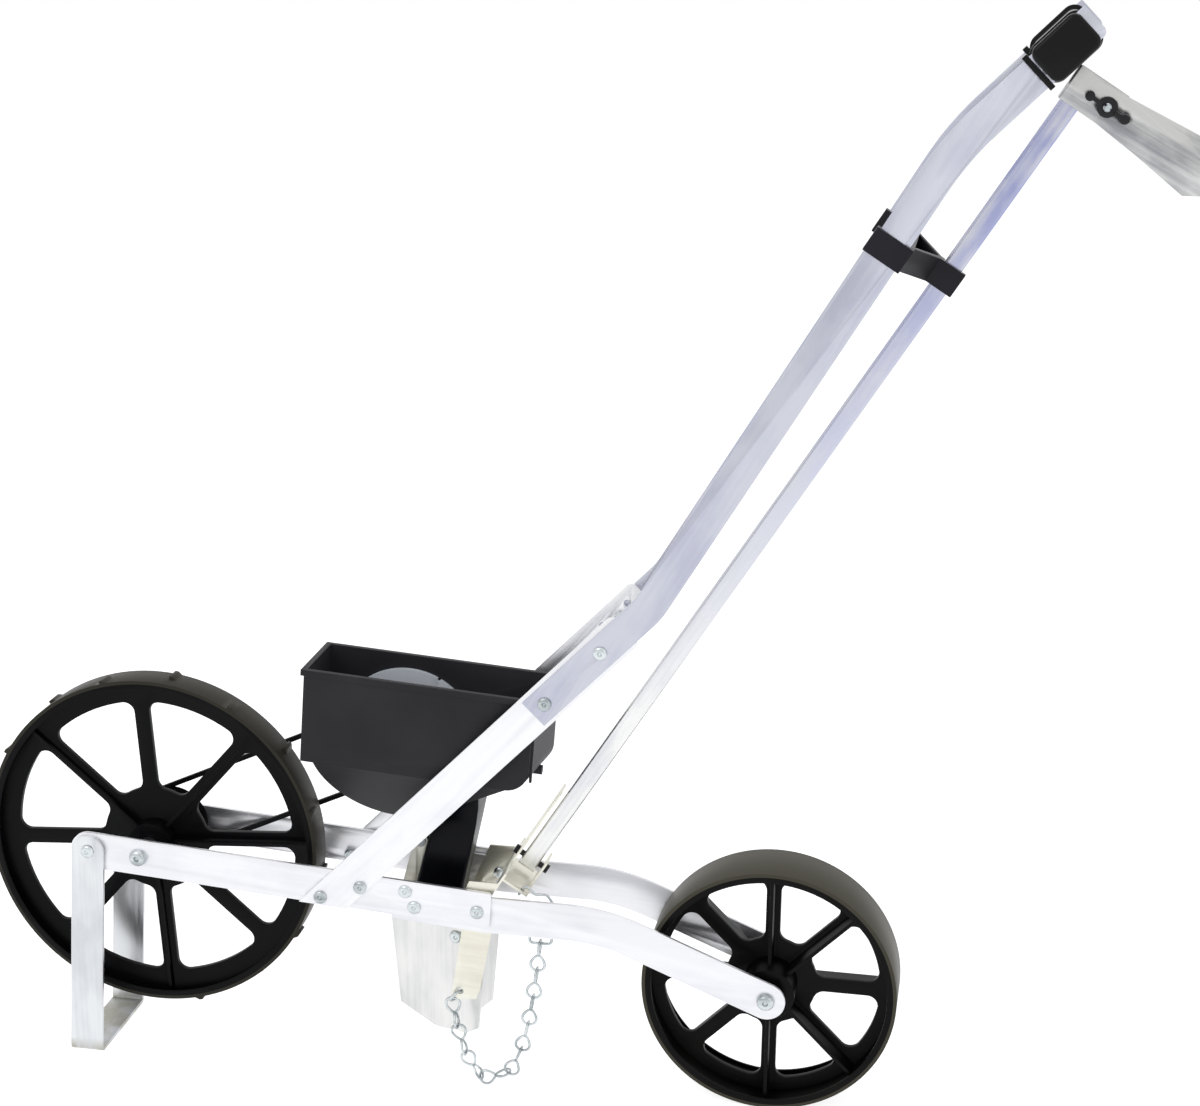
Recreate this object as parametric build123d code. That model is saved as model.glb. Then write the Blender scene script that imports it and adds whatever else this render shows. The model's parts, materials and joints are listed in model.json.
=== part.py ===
from build123d import *
import math
import os

# Walk-behind seed planter, standing on its kickstand and its rear wheel.
# Millimetres. +X points rearwards to the operator, +Y to the machine's right, +Z up.
# Everything is drawn with X = 0 at the rear axle, Y = 0 in the machine's middle plane and
# Z = 0 on the ground; the finished model is then centred over its own footprint.

# Clearances
free_gap = 0.3            # between faces of pieces that move past each other
shaft_gap = 0.05          # radial clearance of a shaft in its bore

# Wheels
front_radius = 146.0      # over the bare rim, without the cleats
front_width = 28.0
rear_radius = 105.0
rear_width = 52.0
rim_wall = 5.0
web_wall = 5.0
spoke_count = 8
cleat_height = 2.5
cleat_thickness = 3.0
cleat_slope = 8.0         # foot of a cleat's sloping side
front_spoke_width = 13.0
front_window_outer = 124.0
front_window_inner = 46.0
front_spoke_turn = -4.0   # degrees from upright to the first spoke, towards the rear
rear_spoke_width = 12.0
rear_window_outer = 90.0
rear_window_inner = 38.0
rear_spoke_turn = 0.0
window_corner = 9.0
rib_wall = 3.0
lip_height = 3.0          # of the ring inside the rim's edges
lip_width = 2.0
front_left_ribs = (1, 2, 4, 7)    # spokes ribbed on the left face, the others on the right
rear_left_ribs = (0, 1, 3, 4)
front_hub_radius = 19.0
rear_hub_radius = 22.0
bush_wall = 2.2

# Axles
axle_radius = 4.7
axle_head_radius = 7.5
axle_head_height = 4.5

# Aluminium straps of the frame
strap_width = 31.75
strap_wall = 3.0
handle_width = 25.4
rail_tilt = -3.86         # degrees, falling to the rear
stand_pivot = (-575.8, 187.5)
pivot_to_axle = 43.6
rail_length = 348.0       # from the stand's pivot to the rear end
rail_half_gap = 42.0      # middle plane to the inner face of a front rail
rear_rail_points = [(-312.0, 165.0), (-235.0, 159.0), (-136.4, 159.0), (0.0, rear_radius)]
rear_rail_bend = 160.0

# Kickstand
stand_width = 28.5
stand_wall = 3.0
foot_centre = -586.0
stand_bend = 4.0

# Handle
brace_angle = 45.8
brace_bolt = (-183.0, 350.5)   # lower of the two bolts that carry the upper handle
brace_bolt_pitch = 63.5
brace_top = 92.0               # from that bolt to the brace's upper end
handle_foot = 13.0
handle_bend_low = (-100.8, 435.1)
handle_bend_high = (115.2, 795.8)
handle_top_angle = 45.0
handle_low_radius = 60.0
handle_high_radius = 240.0
handle_top = 130.5             # from the upper bend to the strap's end
spare_hole_along = (47.0, 76.0)
spare_hole_side = 5.0

# Grip
grip_start = 81.0              # from the upper bend, along the handle
grip_length = 43.5
grip_depth = 27.0
grip_cap_depth = 31.0
grip_corner = 7.0
grip_cap_thickness = 11.0
grip_collar = 4.3
grip_collar_gap = 1.5
grip_collar_wall = 2.6

# Hopper, drawn parallel to the front rails from its front upper corner
hopper_corner = (-384.5, 361.0)
hopper_length = 191.0
hopper_panel = 80.0            # height of the upright upper part
hopper_near = 39.0             # middle plane to the outer face of the left wall
hopper_far = 30.0              # the same for the right wall
hopper_heel = 19.0             # radius of the panel's lower rear corner
rear_slant = 7.0               # the rear wall's right end lies this much further back
hopper_wall = 2.5
hopper_step = 1.5
rim_bead = 2.2                 # keeps the bead inside the handle bolts' nuts
rim_bead_height = 5.0
seed_shaft = (-316.0, 285.0)
seed_plate_radius = 60.0
seed_plate_wall = 3.0
plate_gap = 1.5                # seed plate's rim to the hopper's floor
cell_count = 20
cell_width = 3.5
cell_length = 9.0
cell_depth = 2.0               # pockets in the face next to the port
seed_shaft_radius = 5.0

# Belt drive
pulley_groove_radius = 28.0
pulley_rim_radius = 31.5
pulley_width = 6.0
pulley_middle = 36.0           # distance of the belt from the middle plane
belt_wall = 4.0
belt_width = 3.6
lightening_holes = 5
lightening_radius = 4.5
lightening_circle = 18.5

# Row marker
marker_pin_centre = (-203.6, 194.4)
marker_angle = 57.8
marker_length = 746.0          # pin to the bar's top end
marker_width = 15.0
marker_depth = 10.0
marker_wall = 1.6
marker_corner = 2.5
marker_foot = 9.0
pin_radius = 2.5
pin_half = 14.5
bracket_wall = 2.0
bracket_front = -12.0          # cross plate's middle, in front of the bar's middle line
tongue_top = 68.0

# Row marker's blade
blade_middle = marker_length + 13.0    # along the bar from the pin
blade_height = 28.0
blade_wall = 2.0
blade_reach = 124.0
blade_bolt_reach = 23.0

# Clip for the row marker
clip_along = 592.0
clip_height = 20.0
clip_wall = 3.2

# Furrow opener
shoe_wall = 1.8
shoe_top = 152.0
shoe_bottom = 37.5
shoe_nose = -327.0
shoe_rake = 10.0
shoe_half = 15.0
wing_spread = 27.0
wing_run = 22.0                # rearward reach of a covering wing
wing_drop = 27.0               # wing's top below the shoe's top
wing_root = (-259.0, -266.0)   # X where a wing leaves the shoe, at its top and at its foot
shoe_rear = (-252.0, -260.0)   # rear edge of the sides, at the top and at the foot
shoe_shoulder = -278.0         # where the nose's taper ends
opener_travel = 35.0
shoe_bolt = (-265.0, 124.0)
web_x = (-319.0, -254.0)       # bracket's plate across the machine
cheek_x = (-313.0, -268.0)     # its cheeks on the rails
tab_x = (-273.0, -256.0)       # its tabs inside the shoe
seed_slot_x = (-301.0, -265.0)
seed_slot_half = 8.0
cheek_height = 21.0

# Fasteners
rivet_radius = 3.1
rivet_head = 5.6
rivet_head_height = 2.2
nut_height = 3.5

# Drag chain
wire = 2.3
wire_sides = 6
link_count = 9
link_width = 14.4
loop_length = 16.2
loop_corners = 14
hook_bottom = (-188.0, -37.0, 136.0)
ring_hole = (-255.5, -38.0, 86.5)
ring_hole_radius = 2.6
ring_radius = 6.0              # to the middle of the wire
ring_lean = 52.3               # degrees below level, from the hole to the ring's middle
ring_turn = 25.0               # how far the ring is turned from square to the hanger plate


def side_plane(x, z, tilt=0.0):
    """Side view plane through (x, z): its x runs rearwards, its y up, its normal to the left."""
    turn = math.radians(tilt)
    return Plane(origin=(x, 0, z), x_dir=(math.cos(turn), 0, math.sin(turn)), z_dir=(0, -1, 0))


ground = side_plane(0, 0)
rail_plane = side_plane(*stand_pivot, rail_tilt)
brace_plane = side_plane(*brace_bolt, brace_angle)
grip_plane = side_plane(*handle_bend_high, handle_top_angle)
hopper_plane = side_plane(*hopper_corner, rail_tilt)
marker_plane = side_plane(*marker_pin_centre, marker_angle - 90)

front_axle = rail_plane.from_local_coords((pivot_to_axle, 0, 0))
brace_outer = rail_half_gap + 2 * strap_wall
handle_outer = brace_outer + strap_wall
rear_rail_inner = rail_half_gap - strap_wall


def slab(plane, sketch, low, high):
    """Sketch of a side view, as a plate from Y = low to Y = high."""
    return extrude(plane.offset(-high) * sketch, amount=high - low)


def rod(plane, along, up, radius, low, high):
    """Round bar across the machine."""
    return slab(plane, Pos(along, up) * Circle(radius), low, high)


def hexagon(plane, along, up, radius, low, high):
    return slab(plane, Pos(along, up) * RegularPolygon(radius, 6), low, high)


def mirrored(part):
    return part.mirror(Plane.XZ)


def both(part):
    """A left piece and its mirror image on the right, as separate solids."""
    return Compound(children=[part, mirrored(part)])


def left(inner, outer):
    """The Y range of a layer on the left side, from its distances to the middle plane."""
    return -outer, -inner


def angled_block(plane, x_low, x_high, y_low, y_high, low, high):
    middle = ((x_low + x_high) / 2, (y_low + y_high) / 2)
    return slab(plane, Pos(*middle) * Rectangle(x_high - x_low, y_high - y_low), low, high)


def strap(points, width, bends):
    """Flat strap along a bent middle line, both ends square."""
    line = FilletPolyline(*points, radius=bends)
    return trace(line, line_width=width)


def windows(outer, inner, spoke, first_turn):
    """Openings between the spokes of a wheel, with rounded corners."""
    pitch = 360 / spoke_count
    hub_half = math.degrees(math.asin(spoke / 2 / inner))
    rim_half = math.degrees(math.asin(spoke / 2 / outer))
    corners = []
    for radius, gap in ((inner, hub_half), (outer, rim_half)):
        low, high = math.radians(gap), math.radians(pitch - gap)
        corners.append([(radius * math.sin(t), radius * math.cos(t)) for t in (low, high)])
    middle = math.radians(pitch / 2)
    inner_top = (inner * math.sin(middle), inner * math.cos(middle))
    outer_top = (outer * math.sin(middle), outer * math.cos(middle))
    edges = Curve() + [
        ThreePointArc(corners[0][0], inner_top, corners[0][1]),
        Line(corners[0][1], corners[1][1]),
        ThreePointArc(corners[1][1], outer_top, corners[1][0]),
        Line(corners[1][0], corners[0][0]),
    ]
    window = make_face(edges)
    window = fillet(window.vertices(), window_corner)
    return [Rot(0, 0, -first_turn - pitch * i) * window for i in range(spoke_count)]


def wheel(centre, radius, width, hub_radius, hub_half, outer, inner, spoke, first_turn,
          left_ribs):
    """Moulded wheel: tread band with a lip inside each edge, web with windows, ribs, hub."""
    plane = side_plane(*centre)
    half = width / 2
    band = Circle(radius) - Circle(radius - rim_wall)
    body = slab(plane, band, -half, half)
    web = Circle(radius - rim_wall / 2)
    for window in windows(outer, inner, spoke, first_turn):
        web -= window
    body += slab(plane, web, -web_wall / 2, web_wall / 2)
    lip = Circle(radius - rim_wall / 2) - Circle(radius - rim_wall - lip_height)
    body += slab(plane, lip, -half, lip_width - half)
    body += slab(plane, lip, half - lip_width, half)
    reach = radius - rim_wall - hub_radius / 2
    rib = Pos(0, hub_radius / 2 + reach / 2) * Rectangle(rib_wall, reach)
    rib_half = half - rim_wall
    for i in range(spoke_count):
        turned = Rot(0, 0, -first_turn - 360 / spoke_count * i) * rib
        body += slab(plane, turned, *((-rib_half, 0) if i in left_ribs else (0, rib_half)))
    body += slab(plane, Circle(hub_radius), -hub_half, hub_half)
    bore = axle_radius + bush_wall
    return body - slab(plane, Circle(bore), -hub_half, hub_half)


def bush(centre, low, high):
    plane = side_plane(*centre)
    ring = Circle(axle_radius + bush_wall) - Circle(axle_radius + shaft_gap)
    return slab(plane, ring, low, high)


front_centre = (front_axle.X, front_axle.Z)
rear_centre = (0.0, rear_radius)
front_hub_half = 18.0
rear_hub_half = rear_width / 2 + 4.0
pulley_outer = pulley_middle + pulley_width / 2


def front_wheel():
    body = wheel(front_centre, front_radius, front_width, front_hub_radius, front_hub_half,
                 front_window_outer, front_window_inner, front_spoke_width, front_spoke_turn,
                 front_left_ribs)
    plane = side_plane(*front_centre)
    # Wedge-shaped cleats across the tread, by turns on the left and the right half
    foot, top = front_radius - rim_wall / 2, front_radius + cleat_height
    cleat = make_face(Polyline((-cleat_thickness / 2, foot), (-cleat_thickness / 2, top),
                               (cleat_thickness / 2, top), (cleat_slope, foot), close=True))
    for i in range(2 * spoke_count):
        turned = Rot(0, 0, -front_spoke_turn - 180 / spoke_count * (i + 0.5)) * cleat
        edge = front_width / 2
        low, high = (-edge, 1.0) if i % 2 else (-1.0, edge)
        body += slab(plane, turned, low, high)
    return body


def rear_wheel():
    body = wheel(rear_centre, rear_radius, rear_width, rear_hub_radius, rear_hub_half,
                 rear_window_outer, rear_window_inner, rear_spoke_width, rear_spoke_turn,
                 rear_left_ribs)
    # Shallow hollow round the tread, so that the wheel firms the row's two sides
    hollow = 2.5
    depth_radius = (rear_width ** 2 / 4 + hollow ** 2) / (2 * hollow)
    cutter = Pos(rear_radius - hollow + depth_radius, 0) * Circle(depth_radius)
    ring = revolve(Plane.XY * cutter, Axis.Z)
    return body - Pos(0, 0, rear_radius) * Rot(90, 0, 0) * ring


def pulley(centre, bore, hub_low):
    """Grooved pulley on the machine's right, with a boss towards the middle."""
    half = pulley_width / 2
    groove = belt_width / 2 + free_gap
    depth = pulley_rim_radius - pulley_groove_radius
    profile = Polyline(
        (bore, -half), (pulley_rim_radius, -half), (pulley_rim_radius, -groove - depth * 0.15),
        (pulley_groove_radius, -groove), (pulley_groove_radius, groove),
        (pulley_rim_radius, groove + depth * 0.15), (pulley_rim_radius, half), (bore, half),
        close=True)
    disc = revolve(Plane.XY * make_face(profile), Axis.Y)
    plane = side_plane(0, 0)
    for i in range(lightening_holes):
        turn = math.radians(90 + 360 / lightening_holes * i)
        spot = (lightening_circle * math.cos(turn), lightening_circle * math.sin(turn))
        disc -= rod(plane, *spot, lightening_radius, -half, half)
    disc = Pos(centre[0], pulley_middle, centre[1]) * disc
    boss = Circle(bore + 4.0) - Circle(bore)
    return disc + slab(side_plane(*centre), boss, hub_low, pulley_middle)


def drive_belt():
    """Round the two pulleys, without touching their grooves."""
    inner = pulley_groove_radius + free_gap
    run = Line(front_centre, seed_shaft)
    band = (trace(run, 2 * (inner + belt_wall)) + Pos(*front_centre) * Circle(inner + belt_wall)
            + Pos(*seed_shaft) * Circle(inner + belt_wall))
    hollow = (trace(run, 2 * inner) + Pos(*front_centre) * Circle(inner)
              + Pos(*seed_shaft) * Circle(inner))
    half = belt_width / 2
    return slab(ground, band - hollow, pulley_middle - half, pulley_middle + half)


def axle_set(centre, rail_outer, rail_inner, left_hub, right_hub):
    """Axle bolt, its nut and the two spacers, as three pieces."""
    plane = side_plane(*centre)
    bolt = rod(plane, 0, 0, axle_radius, -rail_outer, rail_outer + 8.0)
    bolt += hexagon(plane, 0, 0, axle_head_radius, -rail_outer - axle_head_height, -rail_outer)
    nut = hexagon(plane, 0, 0, axle_head_radius, rail_outer, rail_outer + 6.0)
    nut -= rod(plane, 0, 0, axle_radius, rail_outer, rail_outer + 6.0)
    ring = Circle(axle_radius + 2.8) - Circle(axle_radius)
    near = slab(plane, ring, -rail_inner, -left_hub - free_gap)
    far = slab(plane, ring, right_hub + free_gap, rail_inner)
    return bolt, nut, Compound(children=[near, far])


rail_bolts = [(204.2, -9.0), (237.8, 5.0)]                  # brace to front rail
frame_rivets = [(275.4, 6.4), (283.8, -6.7), (336.9, -2.4)]  # front rail to what lies inside it


def bored(plate, plane, spots, radius, low, high):
    for spot in spots:
        plate -= rod(plane, *spot, radius, low, high)
    return plate


def front_rail():
    half = strap_width / 2
    outline = Circle(half) + Pos(rail_length / 2, 0) * Rectangle(rail_length, strap_width)
    ends = outline.vertices().sort_by(Axis.X)[-2:]
    outline = fillet(ends, 2.5)
    low, high = left(rail_half_gap, rail_half_gap + strap_wall)
    rail = slab(rail_plane, outline, low, high)
    rail = bored(rail, rail_plane, [(0, 0)] + rail_bolts + frame_rivets, rivet_radius, low, high)
    return bored(rail, rail_plane, [(pivot_to_axle, 0)], axle_radius, low, high)


def rear_rail():
    outline = strap(rear_rail_points, strap_width, rear_rail_bend)
    outline += Pos(*rear_centre) * Circle(strap_width / 2)
    low, high = left(rear_rail_inner, rail_half_gap)
    rail = slab(ground, outline, low, high)
    rail = bored(rail, rail_plane, frame_rivets, rivet_radius, low, high)
    return bored(rail, ground, [rear_centre], axle_radius, low, high)


def brace_spots():
    return [(0, 0), (brace_bolt_pitch, 0)]


def spare_spots():
    return [(along, spare_hole_side) for along in spare_hole_along]


def brace():
    """Lower handle strap, its foot trimmed level with the rail's lower edge."""
    half = strap_width / 2
    foot = 300.0
    outline = Pos((brace_top - foot) / 2, 0) * Rectangle(brace_top + foot, strap_width)
    tops = outline.vertices().sort_by(Axis.X)[-2:]
    outline = fillet(tops, 6.0)
    low, high = left(rail_half_gap + strap_wall, brace_outer)
    plate = slab(brace_plane, outline, low, high)
    plate -= angled_block(rail_plane, 0, 2 * rail_length, -rail_length, -half, low, high)
    plate = bored(plate, rail_plane, rail_bolts, rivet_radius, low, high)
    plate = bored(plate, ground, [hopper_boss], screw_radius, high - screw_bite, high)
    return bored(plate, brace_plane, brace_spots() + spare_spots(), rivet_radius, low, high)


def upper_handle():
    start = brace_plane.from_local_coords((-handle_foot, 0, 0))
    end = grip_plane.from_local_coords((handle_top - handle_width / 4, 0, 0))
    points = [(start.X, start.Z), handle_bend_low, handle_bend_high, (end.X, end.Z)]
    outline = strap(points, handle_width, [handle_low_radius, handle_high_radius])
    low, high = left(brace_outer, handle_outer)
    plate = slab(ground, outline, low, high)
    tip = angled_block(grip_plane, handle_top - handle_width / 2, handle_top,
                       -handle_width / 2, handle_width / 2, low, high)
    tip = fillet(tip.edges().filter_by(Axis.Y).group_by(Axis.X)[-1], 5.0)
    plate += tip
    plate = bored(plate, grip_plane, [(grip_start + grip_length / 2, 0)], rivet_radius, low, high)
    return bored(plate, brace_plane, brace_spots(), rivet_radius, low, high)


def grip_section(depth, grow=0.0):
    size = (grip_length + 2 * grow, depth + 2 * grow)
    middle = grip_start + grip_length / 2
    return Pos(middle, 0) * RectangleRounded(*size, grip_corner + grow)


def handle_grip():
    """Hand bar between the two straps, with a collar round each strap below the cap."""
    inside = brace_outer
    bar = slab(grip_plane, grip_section(grip_depth), -inside, inside)
    neck = slab(grip_plane, grip_section(grip_depth, 3.0), -inside, -inside + 4.0)
    bar += neck + mirrored(neck)
    stop = grip_start - grip_collar_gap
    start = stop - grip_collar
    half = handle_width / 2
    sleeve = angled_block(grip_plane, start, stop, -half - grip_collar_wall,
                          half + grip_collar_wall, -handle_outer - grip_collar_wall, -inside + 4.0)
    sleeve -= angled_block(grip_plane, start, stop, -half, half, -handle_outer, -inside)
    tie = angled_block(grip_plane, start, grip_start + grip_corner, -half, half,
                       -inside, -inside + 4.0)
    collar = sleeve + tie
    bar += collar + mirrored(collar)
    bore = grip_start + grip_length / 2
    return bar - rod(grip_plane, bore, 0, rivet_radius, -inside, inside)


def grip_caps():
    section = grip_section(grip_cap_depth)
    cap = slab(grip_plane, section, -handle_outer - grip_cap_thickness, -handle_outer)
    cap = fillet(cap.faces().sort_by(Axis.Y)[0].edges(), 3.0)
    middle = grip_start + grip_length / 2
    cap -= rod(grip_plane, middle, 0, axle_head_radius, -handle_outer - 5.0, -handle_outer)
    return both(cap)


def grip_rod():
    """Long bolt through the hand bar and both straps, under the caps."""
    middle = grip_start + grip_length / 2
    body = rod(grip_plane, middle, 0, rivet_radius, -handle_outer, handle_outer)
    body += hexagon(grip_plane, middle, 0, 6.0, -handle_outer - 4.0, -handle_outer)
    body += hexagon(grip_plane, middle, 0, 6.0, handle_outer, handle_outer + 4.0)
    return body


def hopper_walls(inset, bottom, top):
    """Block inside the hopper's four walls, the rear one a little askew, moved in by inset."""
    near, far = -hopper_near + inset, hopper_far - inset
    rear = hopper_length - inset
    plan = make_face(Polyline((inset, near), (rear, near), (rear + rear_slant, far),
                              (inset, far), close=True))
    level = Plane(origin=hopper_plane.from_local_coords((0, bottom, 0)),
                  x_dir=hopper_plane.x_dir, z_dir=hopper_plane.y_dir)
    return extrude(level * plan, amount=top - bottom)


def hopper_block(inset, top):
    """The hopper's solid form, all its faces moved in by inset."""
    shaft = hopper_plane.to_local_coords(Vector(seed_shaft[0], 0, seed_shaft[1]))
    floor_radius = seed_plate_radius + plate_gap + hopper_wall - inset
    low, high = -hopper_near + inset, hopper_far - inset
    upper = hopper_walls(inset, -hopper_panel, top)
    heel = upper.faces().sort_by(Axis.X)[-1].edges().sort_by(Axis.Z)[0]
    upper = fillet(heel, hopper_heel - inset)
    shoulder = -hopper_panel
    # Round floor below the seed plate, with a ramp that falls to it from the rear wall
    ramp_end = (hopper_length - hopper_heel + hopper_step - 1.6 * inset, shoulder)
    ramp_turn = math.atan2(ramp_end[1] - shaft.Y, ramp_end[0] - shaft.X)
    reach = math.hypot(ramp_end[0] - shaft.X, ramp_end[1] - shaft.Y)
    touch = ramp_turn - math.acos(floor_radius / reach)
    touch_point = (shaft.X + floor_radius * math.cos(touch), shaft.Y + floor_radius * math.sin(touch))
    drop = math.asin(min(1.0, (shaft.Y - shoulder) / floor_radius))
    front_point = (shaft.X - floor_radius * math.cos(drop), shoulder)
    bottom_point = (shaft.X, shaft.Y - floor_radius)
    outline = make_face(Curve() + [
        ThreePointArc(front_point, bottom_point, touch_point),
        Line(touch_point, ramp_end),
        Line(ramp_end, front_point),
    ])
    lower = slab(hopper_plane, outline, low + hopper_step, high)
    # The left wall slopes in under the panel to the narrow trough that holds the plate
    trough = hopper_far - 16.0 - (hopper_wall - inset)
    slope = Polyline((low + hopper_step, 0), (trough, -floor_radius), (low - 60, -floor_radius),
                     (low - 60, 0), close=True)
    slope_face = Plane(origin=hopper_plane.from_local_coords((-100, shoulder, 0)),
                       x_dir=(0, 1, 0), z_dir=hopper_plane.x_dir) * make_face(slope)
    lower -= extrude(slope_face, amount=2 * hopper_length)
    return upper + lower


def hopper_port():
    """Where the plate lets its seed drop through the right wall."""
    turn = math.radians(18)
    reach = seed_plate_radius - 10.0
    return seed_shaft[0] + reach * math.cos(turn), seed_shaft[1] + reach * math.sin(turn)


def hopper():
    body = hopper_block(0, 0)
    bead = hopper_walls(-rim_bead, -rim_bead_height, 0)
    body += fillet(bead.edges().filter_by(Axis.Y, reverse=True).group_by(Axis.Z)[0], 1.0)
    rib = angled_block(hopper_plane, hopper_length, hopper_length + 2.0, -hopper_panel + 8.0,
                       -rim_bead_height, -hopper_near + 4.0, -hopper_near + 6.5)
    body += rib
    knob = Plane(origin=hopper_plane.from_local_coords((hopper_length + 3.5, -hopper_panel + 5.0, 0)),
                 x_dir=(0, 1, 0), z_dir=-hopper_plane.x_dir)
    body += extrude(knob * Pos(3.0, 0) * Circle(4.0), amount=14.0)
    inner = rail_half_gap + strap_wall
    body += rod(ground, *hopper_boss, hopper_boss_radius, -inner, -hopper_near)
    body += rod(ground, *hopper_boss, hopper_boss_radius, hopper_far, inner)
    body -= hopper_block(hopper_wall, 20.0)
    far_low = hopper_far - hopper_wall
    body -= rod(ground, *seed_shaft, seed_shaft_radius + shaft_gap, far_low, hopper_far)
    body -= slab(ground, Pos(*hopper_port()) * Rectangle(10, 16), far_low, hopper_far)
    return body - rod(ground, *hopper_boss, screw_radius, -inner, inner)


hopper_boss = (-246.0, 291.0)
hopper_boss_radius = 6.5
screw_radius = 2.5
screw_bite = 2.4               # how far a screw reaches into the brace


def seed_plate():
    """Disc with a ring of seed cells, a hub and four finger notches."""
    high = hopper_far - hopper_wall - free_gap
    low = high - seed_plate_wall
    disc = Circle(seed_plate_radius)
    for i in range(4):
        notch = Pos(0, seed_plate_radius) * Rectangle(2.5, 4.0)
        disc -= Rot(0, 0, -28 + 90 * i) * notch
    plane = side_plane(*seed_shaft)
    plate = slab(plane, disc, low, high)
    plate += slab(plane, Circle(14), low - 4.0, low)
    cell = Pos(0, seed_plate_radius - 3.0 - cell_length / 2) * Rectangle(cell_width, cell_length)
    for i in range(cell_count):
        turned = Rot(0, 0, 360 / cell_count * (i + 0.5)) * cell
        plate -= slab(plane, turned, high - cell_depth, high)
    return plate - slab(plane, Rectangle(2 * drive_half, 2 * drive_half), low - 4.0, high)


drive_half = 3.2


def seed_shaft_piece():
    """Pulley shaft: round in the wall, square where the plate drops on it."""
    plane = side_plane(*seed_shaft)
    wall_low = hopper_far - hopper_wall
    shaft = rod(plane, 0, 0, seed_shaft_radius, wall_low, pulley_outer)
    return shaft + slab(plane, Rectangle(2 * drive_half, 2 * drive_half), wall_low - 12.0, wall_low)


def box_between(x, y, z):
    size = (x[1] - x[0], y[1] - y[0], z[1] - z[0])
    return Pos((x[0] + x[1]) / 2, (y[0] + y[1]) / 2, (z[0] + z[1]) / 2) * Box(*size)


duct_x = (-281.0, -255.0)
duct_outer = 10.0
duct_bottom = 234.0
chute_top = 256.0
chute_bottom = 155.5
chute_front = (-304.0, -288.0)     # X of its front, at the bottom and at the bend
chute_bend = 220.0


def seed_duct():
    """Cover on the hopper's right wall that leads the seed down from the port."""
    port_top = hopper_port()[1] + 12.0
    low = hopper_far
    wall = 1.5
    shell = box_between(duct_x, (low, low + duct_outer), (duct_bottom, port_top))
    shell = chamfer(shell.edges().filter_by(Axis.X).group_by(Axis.Y)[-1].sort_by(Axis.Z)[-1], 5.0)
    space = box_between((duct_x[0] + wall, duct_x[1] - wall), (low, low + duct_outer - wall),
                        (duct_bottom, port_top - wall))
    return shell - space


def chute_section(z, x, y, wall):
    size = (x[1] - x[0] - 2 * wall, y[1] - y[0] - 2 * wall)
    return Pos((x[0] + x[1]) / 2, (y[0] + y[1]) / 2, z) * RectangleRounded(*size, 3.0)


def seed_chute():
    """Funnel under the hopper and the duct, down to the opener."""
    top = ((-285.0, -250.0), (2.0, hopper_far + duct_outer))
    stations = [
        (chute_top, *top),
        (duct_bottom - 1.0, *top),
        (chute_bend, (chute_front[1], -251.0), (-2.0, 30.0)),
        (chute_bottom, (chute_front[0], -262.0), (-11.0, 11.0)),
    ]
    outer = loft([chute_section(*station, 0.0) for station in stations], ruled=True)
    inner = loft([chute_section(*station, 2.0) for station in stations], ruled=True)
    ear = slab(ground, Pos(*ear_screw) * Circle(ear_radius), *ear_y)
    ear += angled_block(ground, ear_screw[0], ear_screw[0] + 9.0, ear_screw[1] - ear_radius,
                        ear_screw[1] + ear_radius, *ear_y)
    body = outer + ear - inner
    body -= hopper_block(0, 0)
    body -= box_between((-300.0, -240.0), (hopper_far, 60.0), (duct_bottom, chute_top + 1.0))
    return body - rod(ground, *ear_screw, screw_radius, *ear_y)


ear_screw = (-300.0, 199.5)
ear_y = (7.0, 10.0)
ear_radius = 5.8


web_top = chute_bottom
tab_outer = shoe_half - shoe_wall - free_gap
tab_inner = tab_outer - 1.7
bracket_inner = rear_rail_inner - bracket_wall


def opener_bracket():
    """Bent plate between the rails that carries the chute and guides the opener."""
    web_low = web_top - bracket_wall
    web = box_between(web_x, (-bracket_inner, bracket_inner), (web_low, web_top))
    web += box_between(cheek_x, (-rear_rail_inner, rear_rail_inner), (web_low, web_top))
    cheek = box_between(cheek_x, left(bracket_inner, rear_rail_inner), (web_low, web_top + cheek_height))
    tab_low = shoe_bolt[1] - opener_travel - 8.0
    tab = box_between(tab_x, left(tab_inner, tab_outer), (tab_low, web_low))
    body = web + cheek + mirrored(cheek) + tab + mirrored(tab)
    body -= box_between(seed_slot_x, (-seed_slot_half, seed_slot_half), (web_low, web_top))
    wide = rear_rail_inner
    body = bored(body, rail_plane, frame_rivets[:2], rivet_radius, -wide, wide)
    slot_radius = rivet_radius + free_gap
    slot_low = (shoe_bolt[0], shoe_bolt[1] - opener_travel)
    slot = trace(Line(slot_low, shoe_bolt), 2 * slot_radius)
    slot += Pos(*slot_low) * Circle(slot_radius) + Pos(*shoe_bolt) * Circle(slot_radius)
    return body - slab(ground, slot, -tab_outer, tab_outer)


def chute_bracket():
    """Angle on the opener's bracket that holds the chute by its ear."""
    high, low = ear_y[0], ear_y[0] - bracket_wall
    foot_front, foot_rear = -317.5, chute_front[0] - 1.0
    plate = make_face(Polyline(
        (foot_front, web_top), (foot_rear, web_top), (ear_screw[0] + ear_radius, ear_screw[1]),
        (ear_screw[0] - ear_radius, ear_screw[1]), close=True))
    plate += Pos(*ear_screw) * Circle(ear_radius)
    body = slab(ground, plate, low, high)
    body += box_between((foot_front, foot_rear), (low - 14.0, high),
                        (web_top, web_top + bracket_wall))
    return bored(body, ground, [ear_screw], screw_radius, low, high)


def chute_screw():
    low, high = ear_y[0] - bracket_wall, ear_y[1]
    body = rod(ground, *ear_screw, screw_radius, low, high)
    body += rod(ground, *ear_screw, 4.6, low - 2.2, low)
    return body + hexagon(ground, *ear_screw, 4.6, high, high + 3.0)


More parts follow.
